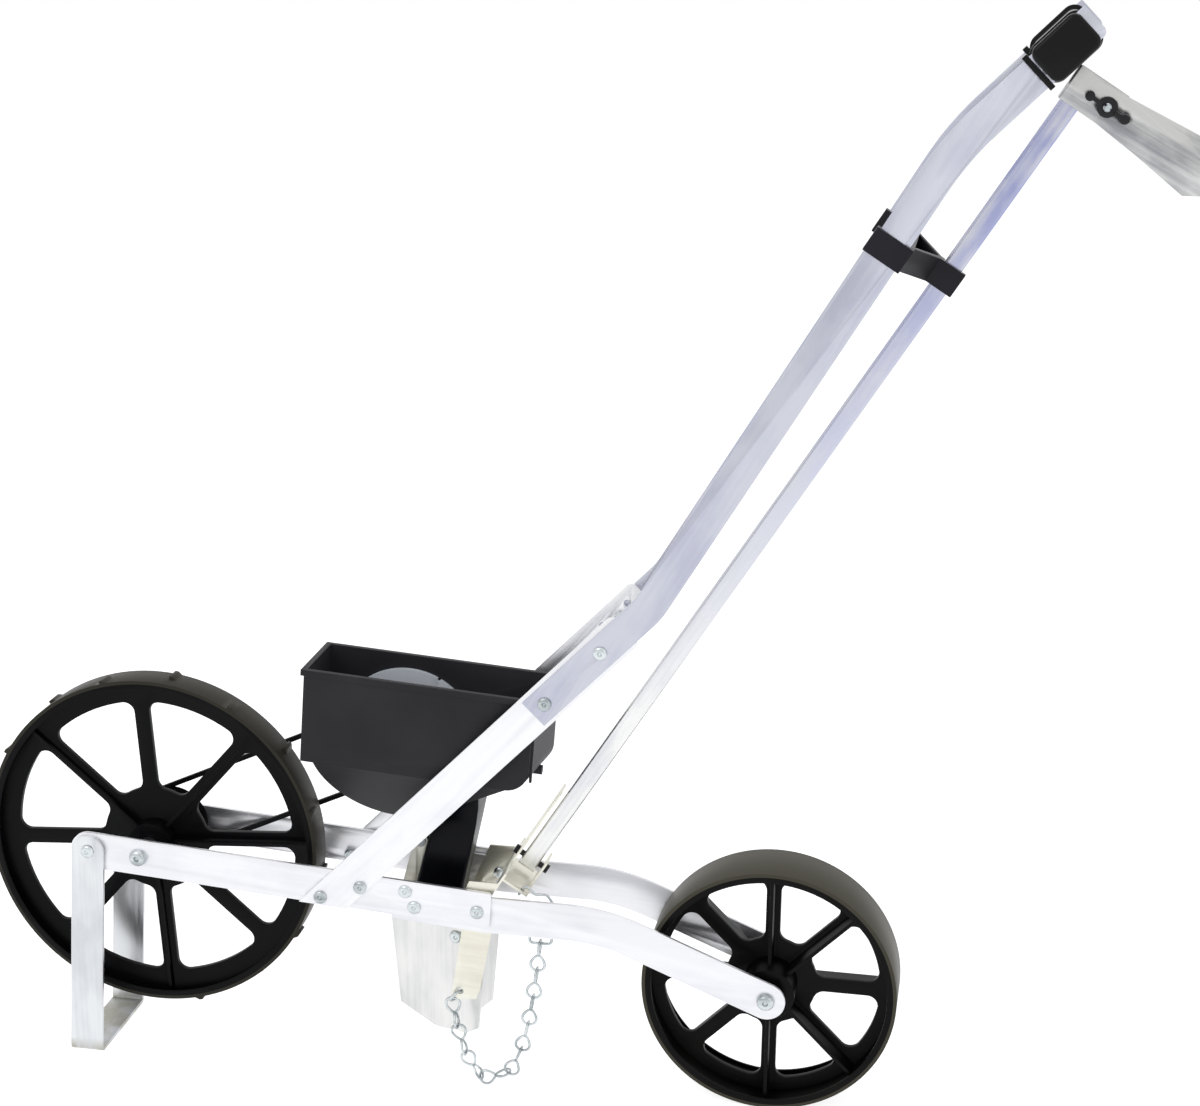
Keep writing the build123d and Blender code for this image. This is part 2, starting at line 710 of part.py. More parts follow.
def hopper_screws():
    """Screws from inside the hopper, through its bosses into the braces."""
    inner = rail_half_gap + strap_wall
    wall = hopper_near - hopper_wall
    near = rod(ground, *hopper_boss, screw_radius, -inner - screw_bite, -wall)
    near += rod(ground, *hopper_boss, 4.6, -wall, -wall + 2.2)
    wall = hopper_far - hopper_wall
    far = rod(ground, *hopper_boss, screw_radius, wall, inner + screw_bite)
    far += rod(ground, *hopper_boss, 4.6, wall - 2.2, wall)
    return Compound(children=[near, far])


def shoe_plan(z, nose, rear):
    """Section of the opener: a V of sheet metal that opens to the rear."""
    spread = shoe_shoulder + (nose - shoe_nose) * 0.4
    inner_nose = nose + shoe_wall * 3.4
    half, inside = shoe_half, shoe_half - shoe_wall
    outline = Polyline((nose, 0), (spread, half), (rear, half), (rear, inside),
                       (spread + 0.5, inside), (inner_nose, 0), (spread + 0.5, -inside),
                       (rear, -inside), (rear, -half), (spread, -half), close=True)
    return Pos(0, 0, z) * make_face(outline)


def wing_plan(z, start, sign):
    """Section of a covering wing, flared out from the opener's side."""
    tip = (start + wing_run, wing_spread)
    root = (start, shoe_half)
    run = math.hypot(tip[0] - root[0], tip[1] - root[1])
    nx, ny = -(tip[1] - root[1]) / run * shoe_wall, (tip[0] - root[0]) / run * shoe_wall
    corners = [root, tip, (tip[0] - nx, tip[1] - ny), (root[0] - nx, root[1] - ny)]
    return Pos(0, 0, z) * make_face(Polyline(*[(x, sign * y) for x, y in corners], close=True))


def opener_shoe():
    wing_top = shoe_top - wing_drop
    body = loft([shoe_plan(shoe_top, shoe_nose, shoe_rear[0]),
                 shoe_plan(shoe_bottom, shoe_nose + shoe_rake, shoe_rear[1])], ruled=True)
    for sign in (-1, 1):
        body += loft([wing_plan(wing_top, wing_root[0], sign),
                      wing_plan(shoe_bottom, wing_root[1], sign)], ruled=True)
    # Heel line rises to the nose
    toe = shoe_nose + shoe_rake
    under = make_face(Polyline((toe - 9, shoe_bottom + 17), (-285.0, shoe_bottom),
                               (toe - 9, shoe_bottom - 5), close=True))
    wide = 2 * wing_spread
    body -= slab(ground, under, -wide, wide)
    heel = make_face(Polyline((-256.0, shoe_bottom), (-228.0, shoe_bottom + 21.0),
                              (-228.0, shoe_bottom - 5), (-256.0, shoe_bottom - 5), close=True))
    body -= slab(ground, heel, -wide, wide)
    return bored(body, ground, [shoe_bolt], rivet_radius + shaft_gap, -wide, wide)


def shoe_bolt_piece():
    body = rod(ground, *shoe_bolt, rivet_radius, -shoe_half, shoe_half + 6.0)
    return body + rod(ground, *shoe_bolt, rivet_head, -shoe_half - rivet_head_height, -shoe_half)


def shoe_nut():
    low, high = shoe_half, shoe_half + nut_height
    nut = hexagon(ground, *shoe_bolt, rivet_head, low, high)
    return nut - rod(ground, *shoe_bolt, rivet_radius, low, high)


def marker_bracket():
    """Bent plate across the rails, with a channel that holds the row marker's pin."""
    front = bracket_front - bracket_wall / 2
    back = bracket_front + bracket_wall / 2
    foot = -25.0
    wide = rear_rail_inner
    body = angled_block(marker_plane, front, back, foot, -6.0, -wide, wide)
    body += angled_block(marker_plane, front, back, foot, tongue_top, -channel_half, channel_half)
    shelf = -marker_foot - 4.0
    body += angled_block(marker_plane, front, -bracket_front + bracket_wall / 2,
                         shelf - bracket_wall, shelf, -34.0, channel_half)
    body += angled_block(marker_plane, -back, -front, shelf - bracket_wall, 9.0,
                         -channel_half, channel_half)
    flange = Polyline((-265.4, 145.0), (-247.7, 187.0), (-221.0, 187.0), (-245.0, 145.0), close=True)
    near = slab(ground, make_face(flange), *left(bracket_inner, rear_rail_inner))
    near -= angled_block(marker_plane, back, 60.0, -200.0, 200.0,
                         *left(bracket_inner, rear_rail_inner))
    body += near + mirrored(near)
    # The left flange runs on downwards, to hold the chain's ring
    hanger = make_face(Polyline(
        (-252.0, 160.0), (-229.0, 160.0), (-229.2, 142.0), (-238.8, 90.0), (-242.0, 80.5),
        (-258.0, 79.0), (-263.0, 84.5), (-254.2, 142.5), close=True))
    body += slab(ground, hanger, *left(bracket_inner, rear_rail_inner))
    body -= rod(ground, ring_hole[0], ring_hole[2], ring_hole_radius, -wide, -bracket_inner)
    body = bored(body, rail_plane, [frame_rivets[2]], rivet_radius, -wide, wide)
    pin_hole = Pos(*marker_pin()) * marker_turn() * Cylinder(pin_radius, 2 * pin_half)
    hole = Pos(hanger_hole[0], hanger_y, hanger_hole[1]) * marker_lean() * Cylinder(1.7, 6.0)
    return body - pin_hole - hole


channel_half = 12.0
hanger_y = -30.0
hanger_hole = (marker_plane.from_local_coords((7.0, -marker_foot - 5.0, 0)).X,
               marker_plane.from_local_coords((7.0, -marker_foot - 5.0, 0)).Z)


def marker_lean():
    """Turns a Z cylinder along the row marker's bar."""
    return Rot(0, 90 - marker_angle, 0)


def marker_pin():
    return marker_pin_centre[0], 0, marker_pin_centre[1]


def marker_turn():
    """Turns a Z cylinder onto the row marker's swing axis."""
    return Rot(0, 180 - marker_angle, 0)


def marker_pin_piece():
    place = Pos(*marker_pin()) * marker_turn()
    pin = place * Cylinder(pin_radius, 2 * pin_half)
    cap = Cylinder(4.0, 3.5)
    edge = -bracket_front + bracket_wall / 2 + 1.75
    return pin + place * Pos(0, 0, edge) * cap + place * Pos(0, 0, -edge) * cap


def marker_bar():
    """Rounded rectangular tube, flattened end round the pin."""
    outline = RectangleRounded(marker_width, marker_depth, marker_corner)
    inside = RectangleRounded(marker_width - 2 * marker_wall, marker_depth - 2 * marker_wall,
                              marker_corner - marker_wall)
    section = Plane(origin=marker_pin(), x_dir=marker_plane.x_dir, z_dir=marker_plane.y_dir)
    tube = extrude(section.offset(-marker_foot + marker_depth / 2) * (outline - inside),
                   amount=marker_length + marker_foot - marker_depth / 2)
    plug = extrude(section.offset(-marker_foot + marker_depth / 2) * outline, amount=16.0)
    end = Pos(*marker_pin()) * marker_turn() * Cylinder(marker_depth / 2, marker_width)
    end = marker_shift(-marker_foot + marker_depth / 2) * end
    bore = Pos(*marker_pin()) * marker_turn() * Cylinder(pin_radius + shaft_gap, 2 * marker_width)
    return tube + plug + end - bore


def marker_shift(along):
    direction = marker_plane.y_dir
    return Pos(direction.X * along, 0, direction.Z * along)


def marker_blade():
    """Sheet folded round the bar, its blade creased towards the tip."""
    low = blade_middle - blade_height / 2
    high = blade_middle + blade_height / 2
    inside = marker_depth / 2 + free_gap
    outside = inside + blade_wall
    front = -marker_width / 2 - free_gap
    wrap = angled_block(marker_plane, front - blade_wall, blade_bolt_reach + 10.0, low, high,
                        -outside, outside)
    wrap -= angled_block(marker_plane, front, blade_bolt_reach + 11.0, low, high, -inside, inside)
    wrap = fillet(wrap.edges().filter_by(lambda edge: abs(edge.length - blade_height) < 0.01)
                  .group_by(Axis.X)[0], 1.5)
    lower = make_face(Polyline(
        (blade_bolt_reach, low), (60.0, low - 3.0), (105.0, low - 8.0), (116.0, low - 1.0),
        (blade_reach, high - 8.0), (100.0, high - 9.0), (blade_bolt_reach + 10.0, high),
        (blade_bolt_reach, high), close=True))
    blade = slab(marker_plane, lower, -outside, -inside)
    crease = marker_plane.from_local_coords((100.0, high - 9.0, inside))
    hinge = marker_plane.from_local_coords((blade_bolt_reach + 10.0, high, inside))
    tip = marker_plane.from_local_coords((blade_reach, high - 8.0, inside))
    peak = marker_plane.from_local_coords((blade_reach - 4.0, high + 8.0, inside - 16.0))
    back = Vector(0, -blade_wall, 0)
    facet = Solid.extrude(Face(Wire.make_polygon([hinge, crease, peak], close=True)), back)
    facet += Solid.extrude(Face(Wire.make_polygon([crease, tip, peak], close=True)), back)
    body = wrap + blade + facet
    return body - rod(marker_plane, blade_bolt_reach, blade_middle, rivet_radius,
                      -outside, outside)


def marker_bolt():
    inside = marker_depth / 2 + free_gap + blade_wall
    body = rod(marker_plane, blade_bolt_reach, blade_middle, rivet_radius,
               -inside - nut_standoff - 9.0, inside)
    return body + rod(marker_plane, blade_bolt_reach, blade_middle, 6.0, inside, inside + 3.0)


nut_standoff = 0.4


def wing_nut():
    face = -(marker_depth / 2 + free_gap + blade_wall + nut_standoff)
    plane = marker_plane
    hub = Pos(blade_bolt_reach, blade_middle) * Circle(7.5)
    body = slab(plane, hub, face - 6.5, face)
    for sign in (-1, 1):
        arm = Pos(blade_bolt_reach + sign * 11.0, blade_middle) * Rectangle(9.0, 3.2)
        tip = Pos(blade_bolt_reach + sign * 15.0, blade_middle) * Circle(3.6)
        body += slab(plane, arm + tip, face - 10.0, face - 3.0)
    bore = Pos(blade_bolt_reach, blade_middle) * Circle(rivet_radius + shaft_gap)
    return body - slab(plane, bore, face - 10.0, face)


def clip_bore(wall):
    """Block round an upper handle strap at the clip, with wall all round it."""
    half = handle_width / 2 + wall
    middle = handle_at(clip_along)
    return angled_block(marker_plane, middle - half, middle + half, clip_along - clip_height / 2,
                        clip_along + clip_height / 2, -handle_outer - wall, -brace_outer + wall)


def handle_at(along):
    """Middle of the straight upper handle strap, measured across the row marker's plane."""
    low = marker_plane.to_local_coords(Vector(handle_bend_low[0], 0, handle_bend_low[1]))
    high = marker_plane.to_local_coords(Vector(handle_bend_high[0], 0, handle_bend_high[1]))
    return low.X + (high.X - low.X) * (along - low.Y) / (high.Y - low.Y)


def marker_clip():
    """Moulding that spans the two handle straps and takes the stored row marker."""
    low, high = clip_along - clip_height / 2, clip_along + clip_height / 2
    middle = handle_at(clip_along)
    rear = middle + handle_width / 2
    band = clip_bore(clip_wall)
    tie = angled_block(marker_plane, rear, rear + clip_wall, low, high, -brace_outer, brace_outer)
    body = band + mirrored(band) + tie
    jaw_front = -marker_width / 2 - free_gap - clip_wall
    jaw_y = marker_depth / 2 + free_gap
    yoke = Polyline((-brace_outer, rear), (brace_outer, rear), (jaw_y, jaw_front), (jaw_y, jaw_front + clip_wall),
                    (-jaw_y - clip_wall, jaw_front + clip_wall), (-jaw_y - clip_wall, jaw_front), close=True)
    level = Plane(origin=marker_plane.from_local_coords((0, low, 0)), x_dir=(0, 1, 0),
                  z_dir=-marker_plane.y_dir)
    yoke_solid = extrude(level * make_face(yoke), amount=-clip_height)
    hollow = Polyline((-brace_outer + 14, rear + clip_wall), (brace_outer - 14, rear + clip_wall),
                      (2.0, jaw_front - 3.0), (-2.0, jaw_front - 3.0), close=True)
    yoke_solid -= extrude(level * make_face(hollow), amount=-clip_height)
    body += yoke_solid
    # Left jaw with its lip; the right side stays open for the bar
    jaw = angled_block(marker_plane, jaw_front, marker_width / 2 + free_gap + clip_wall, low, high,
                       -jaw_y - clip_wall, -jaw_y)
    lip = angled_block(marker_plane, marker_width / 2 + free_gap, marker_width / 2 + free_gap + clip_wall,
                       low, high, -jaw_y - clip_wall, -jaw_y + 4.0)
    return body + jaw + lip - handle_space() - mirrored(handle_space())


def handle_space():
    low, high = left(brace_outer, handle_outer)
    points = [handle_bend_low, handle_bend_high]
    return slab(ground, trace(Line(*points), handle_width), low, high)


def kickstand():
    """Strap bent to a U that stands across the front wheel."""
    inner = rail_half_gap + strap_wall + free_gap
    outer = inner + stand_wall
    half = stand_width / 2
    top_x, top_z = stand_pivot
    upright = 2 * stand_bend
    outline = make_face(Polyline(
        (top_x - half, top_z), (top_x + half, top_z), (foot_centre + half, upright),
        (foot_centre + half, 0), (foot_centre - half, 0), (foot_centre - half, upright),
        close=True))
    outline += Pos(top_x, top_z) * Circle(half)
    leg = slab(ground, outline, -outer, -inner)
    base = box_between((foot_centre - half, foot_centre + half), (-outer, outer), (0, stand_wall))
    body = leg + mirrored(leg) + base
    corners = body.edges().filter_by(Axis.X).filter_by(
        lambda edge: edge.center().Z < 0.01 and abs(edge.center().Y) > inner)
    body = fillet(corners, stand_bend)
    return bored(body, ground, [stand_pivot], rivet_radius + shaft_gap, -outer, outer)


def pinned(plane, spots, inner, outer, gap=0.0):
    """Rivets on both sides of the machine, each with a head outside and a tail inside."""
    pieces = []
    for spot in spots:
        body = rod(plane, *spot, rivet_radius, *left(inner - rivet_head_height, outer + gap))
        body += rod(plane, *spot, rivet_head, *left(outer + gap, outer + gap + rivet_head_height))
        body += rod(plane, *spot, rivet_head - 1.0, *left(inner - rivet_head_height, inner))
        pieces += [body, mirrored(body)]
    return Compound(children=pieces)


def stand_rivets():
    outer = rail_half_gap + strap_wall + free_gap + stand_wall
    return pinned(ground, [stand_pivot], rail_half_gap, outer, free_gap)


def bolted(plane, spots, inner, outer):
    """Round-headed bolts with hexagon nuts inside, as bolts and nuts."""
    bolts, nuts = [], []
    for spot in spots:
        bolt = rod(plane, *spot, rivet_radius, *left(inner - nut_height, outer))
        bolt += rod(plane, *spot, rivet_head, *left(outer, outer + rivet_head_height))
        nut = hexagon(plane, *spot, rivet_head, *left(inner - nut_height, inner))
        nut -= rod(plane, *spot, rivet_radius, *left(inner - nut_height, inner))
        bolts += [bolt, mirrored(bolt)]
        nuts += [nut, mirrored(nut)]
    return Compound(children=bolts), Compound(children=nuts)


def wire_along(line, sides):
    """Round wire along a path."""
    section = Plane(origin=line @ 0, z_dir=line % 0)
    return sweep(section * RegularPolygon(wire / 2, sides), path=line)


def chain_hanger():
    """Wire hook from the marker bracket's shelf, over to the top of the chain."""
    x, y, z = hook_bottom
    along = marker_plane.y_dir
    start = (hanger_hole[0] - 5.0 * along.X, hanger_y, hanger_hole[1] - 5.0 * along.Z)
    over = (hanger_hole[0] + 6.0 * along.X, hanger_y, hanger_hole[1] + 6.0 * along.Z)
    line = FilletPolyline(
        start, over, (-194.0, hanger_y, 176.0), (-184.0, hanger_y, 176.5),
        (-176.5, hanger_y - 1.0, 167.0), (x + 9.0, y, z), (x - 9.0, y, z),
        (x - 9.0, y, z + 8.0), radius=3.0)
    return wire_along(line, 8)


def wire_loop(length, width):
    """Closed drop of wire in the XZ plane, centred, its round end down and its neck up."""
    half_l, half_w = length / 2 - wire / 2, width / 2 - wire / 2
    points = []
    for i in range(loop_corners):
        turn = math.radians(360 / loop_corners * (i + 0.5))
        narrow = 1.0 - 0.3 * max(0.0, math.cos(turn))
        points.append((half_w * narrow * math.sin(turn), 0, half_l * math.cos(turn)))
    flat = math.cos(math.radians(180 / loop_corners))
    line = Polyline(*[(x, 0, z / flat) for x, _, z in points], close=True)
    section = Plane(origin=line @ 0, z_dir=line % 0)
    return sweep(section * RegularPolygon(wire / 2, wire_sides), path=line,
                 transition=Transition.RIGHT)


def chain_link():
    """Two loops at right angles in one piece, hanging down from its upper wire at Z = 0."""
    loop = wire_loop(loop_length, link_width)
    waist = loop_length - wire
    upper = Pos(0, 0, -waist / 2) * Rot(180, 0, 90) * loop
    lower = Pos(0, 0, -waist / 2 - waist) * loop
    return upper + lower


def ring_direction():
    lean = math.radians(ring_lean)
    return Vector(-math.cos(lean), 0, -math.sin(lean))


def chain_ring():
    """Ring through the hanger plate's hole."""
    centre = Vector(*ring_hole) + ring_direction() * ring_radius
    square = Vector(0, 1, 0)
    side = ring_direction().cross(square)
    turn = math.radians(ring_turn)
    across = square * math.cos(turn) + side * math.sin(turn)
    normal = ring_direction().cross(across)
    ring = Torus(ring_radius, wire / 2)
    return Plane(origin=centre, x_dir=across, z_dir=normal).location * ring


def chain_points():
    """Upper wires of the links between the two ends, in the plane that they hang in."""
    pitch = 2 * (loop_length - wire) - wire - free_gap
    top = Vector(*hook_bottom) + Vector(0, 0, wire + free_gap)
    end = Vector(*ring_hole) + ring_direction() * (2 * ring_radius)
    span = math.hypot(end.X - top.X, end.Y - top.Y)
    drop = top.Z - end.Z

    def hang(curve):
        """Distance and height of each link on a hanging curve through the two ends."""
        shift = math.asinh(-drop / (2 * curve * math.sinh(span / (2 * curve))))
        shift -= span / (2 * curve)
        steps = [(0.0, 0.0)]
        for _ in range(link_count):
            last, height = steps[-1]
            near, far = last, last + pitch
            for _ in range(40):
                place = (near + far) / 2
                rise = curve * (math.cosh(place / curve + shift) - math.cosh(shift))
                short = math.hypot(place - last, rise - height) < pitch
                near, far = (place, far) if short else (near, place)
            steps.append((place, rise))
        return steps

    low, high = span / 20, span * 5
    for _ in range(60):
        curve = (low + high) / 2
        low, high = (low, curve) if hang(curve)[-1][0] > span else (curve, high)
    across = (Vector(end.X, end.Y, 0) - Vector(top.X, top.Y, 0)).normalized()
    return [top + across * place + Vector(0, 0, rise) for place, rise in hang(curve)]


def drag_chain():
    link = chain_link()
    points = chain_points()
    across = (points[-1] - points[0]).cross(Vector(0, 0, 1)).normalized()
    pieces = []
    for first, second in zip(points, points[1:]):
        down = (second - first).normalized()
        place = Plane(origin=first, x_dir=down.cross(across), z_dir=-down)
        pieces.append(place.location * link)
    return Compound(children=pieces)


front_bolt, front_nut, front_spacers = axle_set(
    front_centre, rail_half_gap + strap_wall, rail_half_gap, front_hub_half, pulley_outer + 0.2)
rear_bolt, rear_nut, rear_spacers = axle_set(
    rear_centre, rail_half_gap, rear_rail_inner, rear_hub_half, rear_hub_half)
brace_bolts, brace_nuts = bolted(rail_plane, rail_bolts, rail_half_gap, brace_outer)
handle_bolts, handle_nuts = bolted(brace_plane, brace_spots(), rail_half_gap + strap_wall,
                                   handle_outer)

nodes = {
    "front_rail_left": front_rail(),
    "front_rail_right": mirrored(front_rail()),
    "rear_rail_left": rear_rail(),
    "rear_rail_right": mirrored(rear_rail()),
    "handle_brace_left": brace(),
    "handle_brace_right": mirrored(brace()),
    "upper_handle_left": upper_handle(),
    "upper_handle_right": mirrored(upper_handle()),
    "handle_grip": handle_grip(),
    "grip_caps": grip_caps(),
    "grip_rod": grip_rod(),
    "handle_bolts": handle_bolts,
    "handle_nuts": handle_nuts,
    "brace_bolts": brace_bolts,
    "brace_nuts": brace_nuts,
    "frame_rivets": pinned(rail_plane, frame_rivets, bracket_inner, rail_half_gap + strap_wall),
    "stand_rivets": stand_rivets(),
    "kickstand": kickstand(),
    "front_wheel": front_wheel(),
    "front_bush": bush(front_centre, -front_hub_half, pulley_outer + 0.2),
    "drive_pulley": pulley(front_centre, axle_radius + bush_wall, front_hub_half),
    "front_axle_bolt": front_bolt,
    "front_axle_nut": front_nut,
    "front_spacers": front_spacers,
    "rear_wheel": rear_wheel(),
    "rear_bush": bush(rear_centre, -rear_hub_half, rear_hub_half),
    "rear_axle_bolt": rear_bolt,
    "rear_axle_nut": rear_nut,
    "rear_spacers": rear_spacers,
    "hopper": hopper(),
    "seed_duct": seed_duct(),
    "seed_plate": seed_plate(),
    "seed_shaft": seed_shaft_piece(),
    "hopper_pulley": pulley(seed_shaft, seed_shaft_radius, hopper_far + 0.6),
    "drive_belt": drive_belt(),
    "seed_chute": seed_chute(),
    "hopper_screws": hopper_screws(),
    "chute_bracket": chute_bracket(),
    "chute_screw": chute_screw(),
    "opener_bracket": opener_bracket(),
    "opener_shoe": opener_shoe(),
    "shoe_bolt": shoe_bolt_piece(),
    "shoe_nut": shoe_nut(),
    "marker_bracket": marker_bracket(),
    "marker_pin": marker_pin_piece(),
    "marker_bar": marker_bar(),
    "marker_blade": marker_blade(),
    "marker_bolt": marker_bolt(),
    "wing_nut": wing_nut(),
    "marker_clip": marker_clip(),
    "chain_hanger": chain_hanger(),
    "drag_chain": drag_chain(),
    "chain_ring": chain_ring(),
}

# The frame's origin is on the ground, under the middle of the whole machine
boxes = [shape.bounding_box() for shape in nodes.values()]
middle_x = (min(box.min.X for box in boxes) + max(box.max.X for box in boxes)) / 2
middle_y = (min(box.min.Y for box in boxes) + max(box.max.Y for box in boxes)) / 2

os.makedirs("parts", exist_ok=True)
for name, shape in nodes.items():
    export_step(Pos(-middle_x, -middle_y, 0) * shape, f"parts/{name}.step")
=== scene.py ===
import json
import math

import bmesh
import bpy
import numpy as np
from mathutils import Matrix, Vector

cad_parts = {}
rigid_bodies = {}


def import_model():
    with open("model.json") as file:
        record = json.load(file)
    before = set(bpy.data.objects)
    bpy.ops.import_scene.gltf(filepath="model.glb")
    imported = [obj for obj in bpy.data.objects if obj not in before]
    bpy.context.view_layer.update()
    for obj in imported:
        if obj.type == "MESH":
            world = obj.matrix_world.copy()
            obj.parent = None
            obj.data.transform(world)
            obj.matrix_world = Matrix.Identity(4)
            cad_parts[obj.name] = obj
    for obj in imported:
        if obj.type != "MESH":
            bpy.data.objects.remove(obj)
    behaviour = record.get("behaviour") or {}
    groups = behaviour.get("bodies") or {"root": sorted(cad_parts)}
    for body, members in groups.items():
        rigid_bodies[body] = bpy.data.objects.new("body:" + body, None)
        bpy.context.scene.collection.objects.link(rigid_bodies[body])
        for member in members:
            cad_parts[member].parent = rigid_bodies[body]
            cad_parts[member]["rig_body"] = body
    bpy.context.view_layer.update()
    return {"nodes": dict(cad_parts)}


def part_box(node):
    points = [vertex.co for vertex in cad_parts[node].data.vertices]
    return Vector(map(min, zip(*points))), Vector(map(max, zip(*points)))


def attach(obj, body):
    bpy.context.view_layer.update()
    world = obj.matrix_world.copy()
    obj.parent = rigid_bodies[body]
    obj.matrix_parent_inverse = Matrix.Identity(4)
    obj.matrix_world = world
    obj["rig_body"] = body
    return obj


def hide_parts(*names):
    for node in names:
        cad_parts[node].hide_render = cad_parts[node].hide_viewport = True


# A walk-behind seed planter on its kickstand. Metres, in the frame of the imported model:
# +X rearwards to the operator, +Y to the machine's right, +Z up.

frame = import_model()


# Measures taken from the frame

def middle(node):
    """Middle of a node's box."""
    low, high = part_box(node)
    return (low + high) / 2


def islands(node):
    """The separate solids of a node, each as a list of its corner points."""
    source = bmesh.new()
    source.from_mesh(frame["nodes"][node].data)
    bmesh.ops.remove_doubles(source, verts=source.verts, dist=1e-6)
    left = set(source.verts)
    groups = []
    for start in source.verts:
        if start not in left:
            continue
        left.remove(start)
        front = [start]
        group = []
        while front:
            corner = front.pop()
            group.append(corner.co.copy())
            for edge in corner.link_edges:
                other = edge.other_vert(corner)
                if other in left:
                    left.remove(other)
                    front.append(other)
        groups.append(group)
    source.free()
    return groups


def span(points):
    """Lowest and highest corner of some points."""
    low = Vector([min(p[i] for p in points) for i in range(3)])
    high = Vector([max(p[i] for p in points) for i in range(3)])
    return low, high


rear_axle = middle("rear_wheel")
front_axle = middle("drive_pulley")
front_radius = 0.146
rear_radius = 0.105

rail_tilt = math.radians(-3.86)
brace_tilt = math.radians(45.8)
handle_tilt = math.radians(59.1)
marker_tilt = math.radians(57.8)


# Camera

photo_width = 1200
sensor_width = 36.0
focal_pixels = 2272.176
camera_from_axle = Vector((0.159891, -1.711117, 0.967532 - 0.105))
camera_yaw = -0.178504
camera_pitch = -0.282323
camera_roll = 0.012482


def set_camera():
    """The photograph's viewpoint, to the machine's left and a little above."""
    eye = Vector((rear_axle.x, 0, 0.105)) + camera_from_axle
    forward = Vector((math.sin(camera_yaw) * math.cos(camera_pitch),
                      math.cos(camera_yaw) * math.cos(camera_pitch), math.sin(camera_pitch)))
    level = Vector((math.cos(camera_yaw), -math.sin(camera_yaw), 0))
    upright = level.cross(forward)
    right = math.cos(camera_roll) * level + math.sin(camera_roll) * upright
    up = math.cos(camera_roll) * upright - math.sin(camera_roll) * level
    lens = bpy.data.cameras.new("camera")
    lens.sensor_fit = "HORIZONTAL"
    lens.sensor_width = sensor_width
    lens.lens = focal_pixels / photo_width * sensor_width
    lens.clip_start = 0.05
    lens.clip_end = 50
    camera = bpy.data.objects.new("camera", lens)
    bpy.context.scene.collection.objects.link(camera)
    turn = Matrix((right, up, -forward)).transposed()
    camera.matrix_world = Matrix.Translation(eye) @ turn.to_4x4()
    bpy.context.scene.camera = camera


set_camera()


# Studio

soft_light = 0.42       # of the world on the machine
paper_glow = 0.8        # of the floor as seen


def any_ray(tree, *kinds):
    """1 for the named kinds of ray, 0 for the rest."""
    path = tree.nodes.new("ShaderNodeLightPath")
    found = path.outputs[kinds[0]]
    for kind in kinds[1:]:
        both = tree.nodes.new("ShaderNodeMath")
        both.operation = "MAXIMUM"
        tree.links.new(found, both.inputs[0])
        tree.links.new(path.outputs[kind], both.inputs[1])
        found = both.outputs[0]
    return found


def set_studio():
    """White surroundings as seen and mirrored, and a plain soft light on the machine."""
    scene = bpy.context.scene
    scene.view_settings.view_transform = "Standard"
    world = bpy.data.worlds.new("studio")
    scene.world = world
    world.use_nodes = True
    nodes, links = world.node_tree.nodes, world.node_tree.links
    nodes.clear()
    out = nodes.new("ShaderNodeOutputWorld")
    seen = nodes.new("ShaderNodeBackground")
    seen.inputs["Color"].default_value = (1, 1, 1, 1)
    seen.inputs["Strength"].default_value = 1.0
    lit = nodes.new("ShaderNodeBackground")
    lit.inputs["Color"].default_value = (0.95, 0.97, 1, 1)
    lit.inputs["Strength"].default_value = soft_light
    mix = nodes.new("ShaderNodeMixShader")
    seen_by = any_ray(world.node_tree, "Is Camera Ray", "Is Glossy Ray", "Is Transmission Ray")
    links.new(seen_by, mix.inputs["Fac"])
    links.new(lit.outputs[0], mix.inputs[1])
    links.new(seen.outputs[0], mix.inputs[2])
    links.new(mix.outputs[0], out.inputs["Surface"])
    lamp("key", (-1.5, -2.6, 2.6), (0.0, 0.0, 0.35), 2.2, 17)
    lamp("fill", (2.4, -2.2, 1.3), (0.05, 0.0, 0.4), 2.0, 6)
    lamp("top", (0.2, 0.8, 3.2), (0.0, 0.0, 0.3), 2.6, 12)


def lamp(name, place, aim, size, power):
    """Square soft lamp that faces its aim."""
    light = bpy.data.lights.new(name, "AREA")
    light.shape = "SQUARE"
    light.size = size
    light.energy = power
    holder = bpy.data.objects.new(name, light)
    bpy.context.scene.collection.objects.link(holder)
    holder.location = place
    holder.rotation_euler = (Vector(aim) - Vector(place)).to_track_quat("-Z", "Y").to_euler()


def set_floor():
    """White paper floor that still takes the machine's shadow."""
    bpy.ops.object.select_all(action="DESELECT")
    bpy.ops.mesh.primitive_plane_add(size=1, location=(0, 0, -0.0004))
    floor = bpy.context.object
    floor.name = "floor"
    floor.scale = (16, 16, 1)
    bpy.ops.object.transform_apply(location=True, rotation=True, scale=True)
    paper = bpy.data.materials.new("white_paper")
    paper.use_nodes = True
    nodes, links = paper.node_tree.nodes, paper.node_tree.links
    nodes.clear()
    out = nodes.new("ShaderNodeOutputMaterial")
    matte = nodes.new("ShaderNodeBsdfDiffuse")
    matte.inputs["Color"].default_value = (0.9, 0.9, 0.9, 1)
    glow = nodes.new("ShaderNodeEmission")
    glow.inputs["Color"].default_value = (1, 1, 1, 1)
    glow.inputs["Strength"].default_value = paper_glow
    clear = nodes.new("ShaderNodeAddShader")
    plain = nodes.new("ShaderNodeMixShader")
    seen_by = any_ray(paper.node_tree, "Is Camera Ray", "Is Glossy Ray", "Is Transmission Ray")
    links.new(matte.outputs[0], clear.inputs[0])
    links.new(glow.outputs[0], clear.inputs[1])
    links.new(seen_by, plain.inputs["Fac"])
    links.new(matte.outputs[0], plain.inputs[1])
    links.new(clear.outputs[0], plain.inputs[2])
    links.new(plain.outputs[0], out.inputs["Surface"])
    floor.data.materials.append(paper)


set_studio()
set_floor()


# Shader groups

